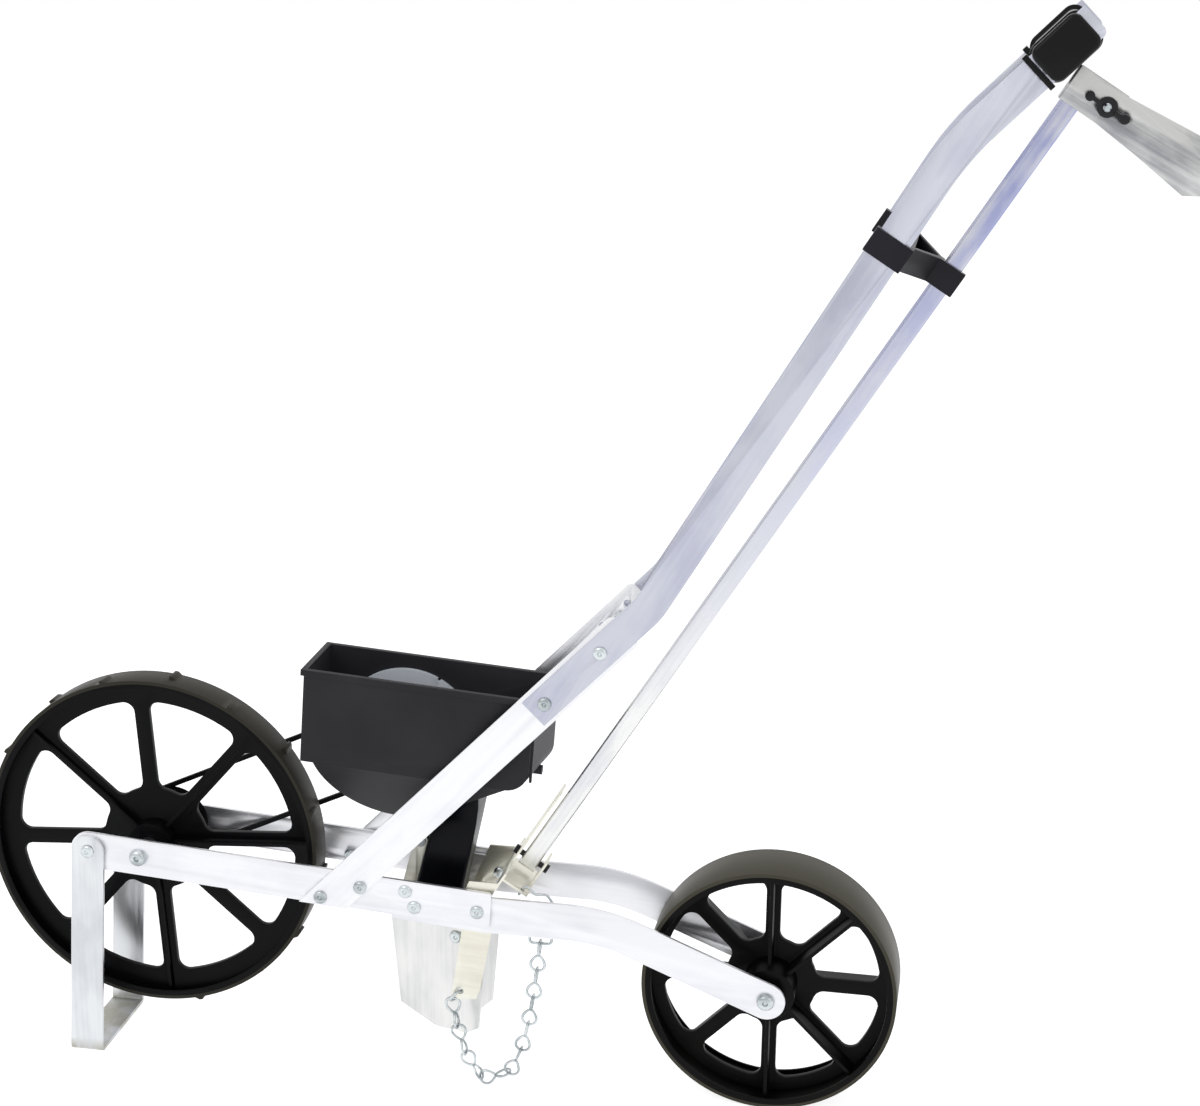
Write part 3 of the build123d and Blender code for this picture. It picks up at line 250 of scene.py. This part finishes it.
def socket(tree, name, direction, kind, value=None):
    """Input or output of a shader group."""
    made = tree.interface.new_socket(name=name, in_out=direction, socket_type=kind)
    if value is not None:
        made.default_value = value
    return made


def arithmetic(tree, operation, *values):
    """Math node whose inputs are sockets or plain numbers."""
    made = tree.nodes.new("ShaderNodeMath")
    made.operation = operation
    for given, value in zip(made.inputs, values):
        if isinstance(value, (int, float)):
            given.default_value = value
        else:
            tree.links.new(value, given)
    return made.outputs[0]


def blended(tree, share, first, second):
    """Mix of two colours."""
    made = tree.nodes.new("ShaderNodeMix")
    made.data_type = "RGBA"
    tree.links.new(share, made.inputs["Factor"])
    for given, value in ((made.inputs["A"], first), (made.inputs["B"], second)):
        if isinstance(value, tuple):
            given.default_value = value
        else:
            tree.links.new(value, given)
    return made.outputs["Result"]


def remapped(tree, value, low, high):
    """Value from low to high, as 0 to 1."""
    made = tree.nodes.new("ShaderNodeMapRange")
    tree.links.new(value, made.inputs["Value"])
    for key, given in (("From Min", low), ("From Max", high)):
        if isinstance(given, (int, float)):
            made.inputs[key].default_value = given
        else:
            tree.links.new(given, made.inputs[key])
    return made.outputs["Result"]


def grain_group():
    """Drawing marks and soft clouds along a metal strap, whose colour may ramp along it as painted
    light.
    """
    tree = bpy.data.node_groups.new("strap_grain", "ShaderNodeTree")
    socket(tree, "Vector", "INPUT", "NodeSocketVector")
    socket(tree, "Base", "INPUT", "NodeSocketColor", (0.8, 0.8, 0.8, 1))
    socket(tree, "Fade", "INPUT", "NodeSocketColor", (0.8, 0.8, 0.8, 1))
    socket(tree, "Shade", "INPUT", "NodeSocketColor", (0.6, 0.6, 0.65, 1))
    socket(tree, "From", "INPUT", "NodeSocketFloat", 0.0)
    socket(tree, "To", "INPUT", "NodeSocketFloat", 1.0)
    socket(tree, "Roughness", "INPUT", "NodeSocketFloat", 0.35)
    socket(tree, "Spread", "INPUT", "NodeSocketFloat", 0.12)
    socket(tree, "Color", "OUTPUT", "NodeSocketColor")
    socket(tree, "Roughness", "OUTPUT", "NodeSocketFloat")
    socket(tree, "Height", "OUTPUT", "NodeSocketFloat")
    nodes, links = tree.nodes, tree.links
    given = nodes.new("NodeGroupInput")
    out = nodes.new("NodeGroupOutput")
    stretch = nodes.new("ShaderNodeMapping")
    stretch.inputs["Scale"].default_value = (6, 300, 300)
    links.new(given.outputs["Vector"], stretch.inputs["Vector"])
    lines = nodes.new("ShaderNodeTexNoise")
    lines.inputs["Scale"].default_value = 1.0
    lines.inputs["Detail"].default_value = 3.0
    links.new(stretch.outputs[0], lines.inputs["Vector"])
    blot = nodes.new("ShaderNodeMapping")
    blot.inputs["Scale"].default_value = (14, 34, 34)
    links.new(given.outputs["Vector"], blot.inputs["Vector"])
    cloud = nodes.new("ShaderNodeTexNoise")
    cloud.inputs["Scale"].default_value = 1.0
    cloud.inputs["Detail"].default_value = 4.0
    links.new(blot.outputs[0], cloud.inputs["Vector"])
    soft = arithmetic(tree, "MULTIPLY", cloud.outputs["Fac"], 0.75)
    both = arithmetic(tree, "MULTIPLY_ADD", lines.outputs["Fac"], 0.25, soft)
    share = remapped(tree, both, 0.36, 0.56)
    # The colour ramps along X from Base to the far-end colour between From and To: painted light,
    # used as painted reflection on the marker bar and painted shade at the kickstand's foot.
    part = nodes.new("ShaderNodeSeparateXYZ")
    links.new(given.outputs["Vector"], part.inputs[0])
    along = remapped(tree, part.outputs["X"], given.outputs["From"], given.outputs["To"])
    ground = blended(tree, along, given.outputs["Base"], given.outputs["Fade"])
    links.new(blended(tree, share, given.outputs["Shade"], ground), out.inputs["Color"])
    centre = arithmetic(tree, "SUBTRACT", cloud.outputs["Fac"], 0.5)
    rough = arithmetic(tree, "MULTIPLY_ADD", centre, given.outputs["Spread"],
                       given.outputs["Roughness"])
    links.new(rough, out.inputs["Roughness"])
    links.new(lines.outputs["Fac"], out.inputs["Height"])
    return tree


def moulding_group():
    """Fine spark texture of moulded plastic, with slow changes of tint and gloss."""
    tree = bpy.data.node_groups.new("moulded_skin", "ShaderNodeTree")
    socket(tree, "Vector", "INPUT", "NodeSocketVector")
    socket(tree, "Base", "INPUT", "NodeSocketColor", (0.03, 0.03, 0.03, 1))
    socket(tree, "Bloom", "INPUT", "NodeSocketColor", (0.06, 0.06, 0.06, 1))
    socket(tree, "Roughness", "INPUT", "NodeSocketFloat", 0.4)
    socket(tree, "Spread", "INPUT", "NodeSocketFloat", 0.2)
    socket(tree, "Grain", "INPUT", "NodeSocketFloat", 1400.0)
    socket(tree, "Color", "OUTPUT", "NodeSocketColor")
    socket(tree, "Roughness", "OUTPUT", "NodeSocketFloat")
    socket(tree, "Height", "OUTPUT", "NodeSocketFloat")
    nodes, links = tree.nodes, tree.links
    given = nodes.new("NodeGroupInput")
    out = nodes.new("NodeGroupOutput")
    cloud = nodes.new("ShaderNodeTexNoise")
    cloud.inputs["Scale"].default_value = 14.0
    cloud.inputs["Detail"].default_value = 4.0
    links.new(given.outputs["Vector"], cloud.inputs["Vector"])
    share = remapped(tree, cloud.outputs["Fac"], 0.35, 0.7)
    links.new(blended(tree, share, given.outputs["Base"], given.outputs["Bloom"]),
              out.inputs["Color"])
    centre = arithmetic(tree, "SUBTRACT", cloud.outputs["Fac"], 0.5)
    rough = arithmetic(tree, "MULTIPLY_ADD", centre, given.outputs["Spread"],
                       given.outputs["Roughness"])
    links.new(rough, out.inputs["Roughness"])
    spark = nodes.new("ShaderNodeTexNoise")
    spark.inputs["Detail"].default_value = 2.0
    links.new(given.outputs["Vector"], spark.inputs["Vector"])
    links.new(given.outputs["Grain"], spark.inputs["Scale"])
    links.new(spark.outputs["Fac"], out.inputs["Height"])
    return tree


def tread_group():
    """1 on a wheel's running surface, 0 inside it, from the place measured off its axle."""
    tree = bpy.data.node_groups.new("tread_band", "ShaderNodeTree")
    socket(tree, "Vector", "INPUT", "NodeSocketVector")
    socket(tree, "Radius", "INPUT", "NodeSocketFloat", 0.1)
    socket(tree, "Mask", "OUTPUT", "NodeSocketFloat")
    nodes, links = tree.nodes, tree.links
    given = nodes.new("NodeGroupInput")
    out = nodes.new("NodeGroupOutput")
    part = nodes.new("ShaderNodeSeparateXYZ")
    links.new(given.outputs["Vector"], part.inputs[0])
    across = arithmetic(tree, "MULTIPLY", part.outputs["X"], part.outputs["X"])
    squared = arithmetic(tree, "MULTIPLY_ADD", part.outputs["Z"], part.outputs["Z"], across)
    reach = arithmetic(tree, "SQRT", squared)
    beyond = arithmetic(tree, "SUBTRACT", reach, given.outputs["Radius"])
    links.new(remapped(tree, beyond, -0.0032, -0.0028), out.inputs["Mask"])
    return tree


strap_grain = grain_group()
moulded_skin = moulding_group()
tread_band = tread_group()


# Materials

def linear(red, green, blue):
    """Colour as it shows, 0 to 255, on the renderer's scale."""
    return tuple((c / 255) ** 2.2 for c in (red, green, blue)) + (1,)


def finish_of(name, group, settings, bump, depth, tilt=0.0):
    """Material whose colour, roughness and relief come from a shader group."""
    made = bpy.data.materials.new(name)
    made.use_nodes = True
    tree = made.node_tree
    shader = tree.nodes["Principled BSDF"]
    place = tree.nodes.new("ShaderNodeTexCoord")
    turn = tree.nodes.new("ShaderNodeMapping")
    turn.inputs["Rotation"].default_value = (0, tilt, 0)
    tree.links.new(place.outputs["Object"], turn.inputs["Vector"])
    skin = tree.nodes.new("ShaderNodeGroup")
    skin.node_tree = group
    tree.links.new(turn.outputs[0], skin.inputs["Vector"])
    for key, value in settings.items():
        skin.inputs[key].default_value = value
    relief = tree.nodes.new("ShaderNodeBump")
    relief.inputs["Strength"].default_value = bump
    relief.inputs["Distance"].default_value = depth
    tree.links.new(skin.outputs["Height"], relief.inputs["Height"])
    tree.links.new(relief.outputs[0], shader.inputs["Normal"])
    tree.links.new(skin.outputs["Color"], shader.inputs["Base Color"])
    tree.links.new(skin.outputs["Roughness"], shader.inputs["Roughness"])
    return made


# The optional far-end colour and its stretch make a ramp of painted light along the strap.
def strap_metal(name, base, shade, roughness, tilt, painted_ramp_end=None, stretch=(0.0, 1.0), metallic=0.8,
                bump=0.06):
    settings = {"Base": linear(*base), "Fade": linear(*(painted_ramp_end or base)), "Shade": linear(*shade),
                "From": stretch[0], "To": stretch[1], "Roughness": roughness, "Spread": 0.12}
    made = finish_of(name, strap_grain, settings, bump, 0.0002, tilt)
    made.node_tree.nodes["Principled BSDF"].inputs["Metallic"].default_value = metallic
    return made


def plastic(name, base, bloom, roughness, gloss, spread=0.15, grain=1400.0, bump=0.08, coat=0.0):
    settings = {"Base": linear(*base), "Bloom": linear(*bloom), "Roughness": roughness,
                "Spread": spread, "Grain": grain}
    made = finish_of(name, moulded_skin, settings, bump, 0.0003)
    shader = made.node_tree.nodes["Principled BSDF"]
    shader.inputs["Specular IOR Level"].default_value = gloss
    shader.inputs["Coat Weight"].default_value = coat
    shader.inputs["Coat Roughness"].default_value = 0.1
    return made


def wheel_moulding(name, base, bloom, tread_sheen, axle, radius):
    """Black plastic whose running surface carries a painted olive sheen."""
    made = plastic(name, base, bloom, 0.4, 0.1, bump=0.05)
    tree = made.node_tree
    shader = tree.nodes["Principled BSDF"]
    black = shader.inputs["Base Color"].links[0].from_socket
    place = tree.nodes.new("ShaderNodeTexCoord")
    centred = tree.nodes.new("ShaderNodeMapping")
    centred.inputs["Location"].default_value = (-axle.x, 0, -axle.z)
    tree.links.new(place.outputs["Object"], centred.inputs["Vector"])
    band = tree.nodes.new("ShaderNodeGroup")
    band.node_tree = tread_band
    band.inputs["Radius"].default_value = radius
    tree.links.new(centred.outputs[0], band.inputs["Vector"])
    tree.links.new(blended(tree, band.outputs["Mask"], black, linear(*tread_sheen)),
                   shader.inputs["Base Color"])
    return made


rail_aluminium = strap_metal("rail_aluminium", (240, 240, 243), (228, 228, 233), 0.34, rail_tilt)
brace_aluminium = strap_metal("brace_aluminium", (242, 242, 244), (230, 230, 235), 0.34,
                              brace_tilt)
# The handles' darker lavender grey and their clouds are painted reflection; the straps are the
# same aluminium as the rails.
handle_aluminium = strap_metal("handle_aluminium", (198, 200, 210), (180, 182, 198), 0.30,
                               handle_tilt)
# The marker bar's lavender towards its upper end is painted reflection, ramping in from its plain
# colour lower down.
marker_aluminium = strap_metal("marker_aluminium", (238, 238, 236), (206, 207, 214), 0.30,
                               marker_tilt, (152, 157, 198), (0.3, 0.84), bump=0.02)
# The kickstand's darker beige-grey foot, below about 12 mm, is painted shade, ramping up to its
# plain colour.
stand_aluminium = strap_metal("stand_aluminium", (176, 174, 164), (206, 208, 212), 0.36,
                              math.radians(90), (228, 230, 232), (0.003, 0.012))
# Darker grey on the straps' bevelled edges: painted shade.
sawn_edge = strap_metal("sawn_edge", (204, 204, 210), (178, 178, 186), 0.42, rail_tilt)
bracket_sheet = strap_metal("bracket_sheet", (240, 238, 226), (222, 219, 204), 0.36, rail_tilt)
blade_sheet = strap_metal("blade_sheet", (206, 206, 204), (142, 144, 148), 0.22, -0.5)
shoe_sheet = strap_metal("shoe_sheet", (236, 236, 234), (216, 216, 216), 0.36, math.radians(90))
bright_zinc = strap_metal("bright_zinc", (206, 212, 214), (132, 140, 144), 0.22, 0.0,
                          metallic=0.95)
turned_steel = strap_metal("turned_steel", (170, 172, 174), (120, 122, 124), 0.3, 0.0,
                           metallic=0.95)
black_oxide = plastic("black_oxide", (18, 18, 20), (36, 36, 40), 0.3, 0.3)
# The olive-brown running surfaces of both wheels are painted sheen, masked by tread_band.
wheel_plastic = wheel_moulding("wheel_plastic", (10, 10, 12), (20, 20, 22), (66, 64, 57),
                               front_axle, front_radius)
tread_plastic = wheel_moulding("tread_plastic", (12, 12, 13), (24, 23, 22), (88, 85, 74),
                               rear_axle, rear_radius)
pulley_plastic = plastic("pulley_plastic", (12, 12, 14), (24, 24, 26), 0.4, 0.15)
hopper_plastic = plastic("hopper_plastic", (53, 52, 56), (62, 61, 64), 0.5, 0.14, 0.12, 900.0,
                         0.12)
chute_plastic = plastic("chute_plastic", (10, 11, 17), (20, 21, 30), 0.3, 0.12)
plate_plastic = plastic("plate_plastic", (238, 244, 252), (246, 250, 255), 0.35, 0.3)
belt_rubber = plastic("belt_rubber", (12, 12, 13), (26, 26, 28), 0.55, 0.15)
grip_plastic = plastic("grip_plastic", (9, 9, 11), (18, 18, 20), 0.14, 0.14, 0.08, 1400.0, 0.02,
                       0.1)
clip_plastic = plastic("clip_plastic", (20, 19, 26), (38, 36, 44), 0.36, 0.2)

node_finish = {
    "rail_aluminium": ["front_rail_left", "front_rail_right", "rear_rail_left", "rear_rail_right"],
    "brace_aluminium": ["handle_brace_left", "handle_brace_right"],
    "handle_aluminium": ["upper_handle_left", "upper_handle_right"],
    "marker_aluminium": ["marker_bar"],
    "stand_aluminium": ["kickstand"],
    "bracket_sheet": ["opener_bracket", "marker_bracket", "chute_bracket"],
    "blade_sheet": ["marker_blade"],
    "shoe_sheet": ["opener_shoe"],
    "bright_zinc": ["handle_bolts", "handle_nuts", "brace_bolts", "brace_nuts", "frame_rivets",
                    "stand_rivets", "front_axle_bolt", "front_axle_nut", "rear_axle_bolt",
                    "rear_axle_nut", "grip_rod", "hopper_screws", "chute_screw", "shoe_bolt",
                    "shoe_nut", "marker_bolt", "chain_hanger", "drag_chain", "chain_ring"],
    "turned_steel": ["front_spacers", "rear_spacers", "front_bush", "rear_bush", "seed_shaft"],
    "black_oxide": ["marker_pin", "wing_nut"],
    "wheel_plastic": ["front_wheel"],
    "tread_plastic": ["rear_wheel"],
    "pulley_plastic": ["drive_pulley", "hopper_pulley"],
    "hopper_plastic": ["hopper", "seed_duct"],
    "chute_plastic": ["seed_chute"],
    "plate_plastic": ["seed_plate"],
    "belt_rubber": ["drive_belt"],
    "grip_plastic": ["handle_grip", "grip_caps"],
    "clip_plastic": ["marker_clip"],
}
finish = {node: bpy.data.materials[name] for name, names in node_finish.items() for node in names}

for node, cad in frame["nodes"].items():
    cad.data.materials.clear()
    cad.data.materials.append(finish[node])


# Working on a piece

def dress(piece, *nodes, edges=None):
    """The piece stands for its nodes, rides on their body and takes their finish."""
    piece.data.materials.clear()
    piece.data.materials.append(finish[nodes[0]])
    if edges:
        piece.data.materials.append(edges)
    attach(piece, frame["nodes"][nodes[0]]["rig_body"])
    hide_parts(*nodes)


def pick(kind, test):
    """Selects the corners, edges or faces of the piece in hand that pass a test."""
    bpy.ops.mesh.select_mode(type=kind)
    bpy.ops.mesh.select_all(action="DESELECT")
    mesh = bpy.context.edit_object.data
    shape = bmesh.from_edit_mesh(mesh)
    for element in {"VERT": shape.verts, "EDGE": shape.edges, "FACE": shape.faces}[kind]:
        if test(element):
            element.select_set(True)
    shape.select_flush_mode()
    bmesh.update_edit_mesh(mesh)


def pull(push, shrink=1.0):
    """Extrudes what is selected along Y and draws it in towards the Y axis."""
    bpy.ops.mesh.extrude_region_move(TRANSFORM_OT_translate={"value": (0, push, 0)})
    if shrink != 1.0:
        bpy.ops.transform.resize(value=(shrink, 1, shrink), center_override=(0, 0, 0))


def joined(pieces, name):
    """Several objects made one."""
    bpy.ops.object.select_all(action="DESELECT")
    for piece in pieces:
        piece.select_set(True)
    bpy.context.view_layer.objects.active = pieces[0]
    bpy.ops.object.join()
    pieces[0].name = name
    return pieces[0]


def smoothed(piece, angle):
    """Smooth shading, with edges sharper than the angle left sharp."""
    bpy.ops.object.select_all(action="DESELECT")
    piece.select_set(True)
    bpy.context.view_layer.objects.active = piece
    bpy.ops.object.shade_smooth_by_angle(angle=math.radians(angle))


# Bodywork taken over from the frame, with its edges eased

def eased(node, edge, edges=None, smooth=32, sharp=28):
    """The node's own form, with its outer edges broken by a small bevel."""
    bpy.ops.object.select_all(action="DESELECT")
    cad = frame["nodes"][node]
    piece = bpy.data.objects.new(node + "_finished", cad.data.copy())
    bpy.context.scene.collection.objects.link(piece)
    piece.select_set(True)
    bpy.context.view_layer.objects.active = piece
    bpy.ops.object.mode_set(mode="EDIT")
    bpy.ops.mesh.select_all(action="SELECT")
    bpy.ops.mesh.remove_doubles(threshold=1e-6)
    bpy.ops.mesh.dissolve_limited(angle_limit=math.radians(0.6))
    bpy.ops.object.mode_set(mode="OBJECT")
    if edge:
        soften = piece.modifiers.new("edges", "BEVEL")
        soften.width = edge
        soften.segments = 2
        soften.limit_method = "ANGLE"
        soften.angle_limit = math.radians(sharp)
        soften.use_clamp_overlap = True
        if edges:
            soften.material = 1
        bpy.ops.object.modifier_apply(modifier="edges")
    smoothed(piece, smooth)
    kinds = [face.material_index for face in piece.data.polygons]
    dress(piece, node, edges=edges)
    for face, kind in zip(piece.data.polygons, kinds):
        face.material_index = kind if edges else 0
    return piece


# Straps show a thin grey line along their eased edges: painted shade on the bevel.
for node in ("front_rail_left", "front_rail_right", "rear_rail_left", "rear_rail_right",
             "handle_brace_left", "handle_brace_right", "upper_handle_left",
             "upper_handle_right", "kickstand"):
    eased(node, 0.0006, sawn_edge)

for node in ("opener_bracket", "marker_bracket", "chute_bracket", "marker_blade", "opener_shoe"):
    eased(node, 0.0003)

for node in ("front_wheel", "rear_wheel", "drive_pulley", "hopper_pulley", "hopper", "seed_duct",
             "seed_chute", "seed_plate", "handle_grip", "grip_caps", "marker_clip", "wing_nut",
             "marker_pin", "handle_nuts", "brace_nuts", "shoe_nut", "front_axle_nut",
             "rear_axle_nut"):
    eased(node, 0.0004)

for node in ("marker_bar", "drive_belt", "chain_hanger", "chain_ring", "marker_bolt"):
    eased(node, 0.0, smooth=50)


# Round-headed bolts and rivets

# Each ring of the dome: its share of the rise, and how far it draws in
dome_rings = ((0.30, 0.90), (0.20, 0.84), (0.11, 0.75), (0.04, 0.60))


def domed_bolt(head, rise, shank, reach, tail):
    """Bolt along Y with a dimpled round head on its left, the head's underside at Y = 0."""
    bpy.ops.object.select_all(action="DESELECT")
    bpy.ops.mesh.primitive_cylinder_add(vertices=28, radius=head, depth=0.35 * rise,
                                        location=(0, -0.175 * rise, 0),
                                        rotation=(math.pi / 2, 0, 0))
    bolt = bpy.context.object
    bpy.ops.object.transform_apply(location=True, rotation=True, scale=True)
    bpy.ops.object.mode_set(mode="EDIT")
    pick("FACE", lambda face: face.normal.y < -0.9)
    for push, shrink in dome_rings:
        pull(-push * rise, shrink)
    pull(0.4 * rise, 0.6)
    pick("FACE", lambda face: face.normal.y > 0.9 and face.calc_center_median().y > -1e-6)
    pull(0.0, shank / head)
    pull(reach - (tail[1] if tail else 0.0))
    if tail:
        pull(0.0, tail[0] / shank)
        pull(0.6 * tail[1])
        pull(0.4 * tail[1], 0.7)
    bpy.ops.object.mode_set(mode="OBJECT")
    return bolt


def fasten(node, head, rise, shank, tail=None, left_only=False):
    """Every solid of a node as the same bolt or rivet, modelled once and copied."""
    solids = [span(points) for points in islands(node)]
    low, high = solids[0]
    first = domed_bolt(head, rise, shank, high.y - low.y - rise, tail)
    copies = []
    for number, (low, high) in enumerate(solids):
        copy = bpy.data.objects.new(node, first.data.copy())
        bpy.context.scene.collection.objects.link(copy)
        on_left = left_only or low.y + high.y < 0
        under = low.y + rise if on_left else high.y - rise
        side = Matrix.Rotation(0 if on_left else math.pi, 4, "Z")
        place = Matrix.Translation(((low.x + high.x) / 2, under, (low.z + high.z) / 2))
        copy.data.transform(place @ side @ Matrix.Rotation(0.7 * number, 4, "Y"))
        copies.append(copy)
    bpy.data.objects.remove(first)
    piece = joined(copies, node + "_finished")
    smoothed(piece, 40)
    dress(piece, node)


fasten("handle_bolts", 0.0056, 0.0022, 0.0031)
fasten("brace_bolts", 0.0056, 0.0022, 0.0031)
fasten("frame_rivets", 0.0056, 0.0022, 0.0031, (0.0046, 0.0022))
fasten("stand_rivets", 0.0056, 0.0022, 0.0031, (0.0046, 0.0022))
fasten("shoe_bolt", 0.0056, 0.0022, 0.0031, left_only=True)
fasten("front_axle_bolt", 0.0072, 0.0045, 0.0047, left_only=True)
fasten("rear_axle_bolt", 0.0072, 0.0045, 0.0047, left_only=True)


# Drag chain of twisted wire links

chain_wire = 0.0023
chain_width = 0.0144


def wire_drop(length):
    """Loop of round wire in the XZ plane, its neck at the origin and its round end below."""
    bpy.ops.object.select_all(action="DESELECT")
    bpy.ops.curve.primitive_bezier_circle_add(radius=0.01, location=(0, 0, 0))
    loop = bpy.context.object
    half = chain_width / 2 - chain_wire / 2
    waist = 0.6 * length
    corners = (((-half, -waist), (-half, -waist - 0.24 * length), (-half, -waist + 0.22 * length)),
               ((0, 0), (-0.30 * half, 0), (0.30 * half, 0)),
               ((half, -waist), (half, -waist + 0.22 * length), (half, -waist - 0.24 * length)),
               ((0, -length), (0.56 * half, -length), (-0.56 * half, -length)))
    for point, (spot, before, after) in zip(loop.data.splines[0].bezier_points, corners):
        point.handle_left_type = point.handle_right_type = "FREE"
        point.co = (spot[0], 0, spot[1])
        point.handle_left = (before[0], 0, before[1])
        point.handle_right = (after[0], 0, after[1])
    loop.data.dimensions = "3D"
    loop.data.fill_mode = "FULL"
    loop.data.resolution_u = 7
    loop.data.bevel_resolution = 2
    loop.data.bevel_depth = chain_wire / 2
    bpy.ops.object.convert(target="MESH")
    return bpy.context.object


def link_places():
    """Middle, downward axis and lower loop's width of each link, and the links' half length."""
    places = []
    for points in islands("drag_chain"):
        cloud = np.array([list(point) for point in points])
        centre = cloud.mean(0)
        down = np.linalg.svd(cloud - centre)[2][0]
        along = (cloud - centre) @ down
        centre = centre + down * (along.max() + along.min()) / 2
        half = (along.max() - along.min()) / 2
        lower = cloud[(cloud - centre) @ down > 0.2 * half] - centre
        flat = lower - np.outer(lower @ down, down)
        wide = np.linalg.svd(flat - flat.mean(0))[2][0]
        places.append((Vector(centre), Vector(down), Vector(wide), half))
    return places


def make_chain():
    """The twisted link, modelled once and laid along the frame's chain."""
    places = link_places()
    lower = wire_drop(places[0][3] - chain_wire / 2)
    upper = bpy.data.objects.new("upper_loop", lower.data.copy())
    bpy.context.scene.collection.objects.link(upper)
    upper.data.transform(Matrix.Rotation(math.pi / 2, 4, "Z") @ Matrix.Rotation(math.pi, 4, "X"))
    first = joined([lower, upper], "first_link")
    links = []
    for centre, down, wide, _ in places:
        up = -down
        deep = up.cross(wide).normalized()
        wide = deep.cross(up).normalized()
        turn = Matrix((wide, deep, up)).transposed().to_4x4()
        link = bpy.data.objects.new("link", first.data.copy())
        bpy.context.scene.collection.objects.link(link)
        link.data.transform(Matrix.Translation(centre) @ turn)
        links.append(link)
    bpy.data.objects.remove(first)
    chain = joined(links, "drag_chain_finished")
    smoothed(chain, 60)
    dress(chain, "drag_chain")


make_chain()


bpy.context.view_layer.update()
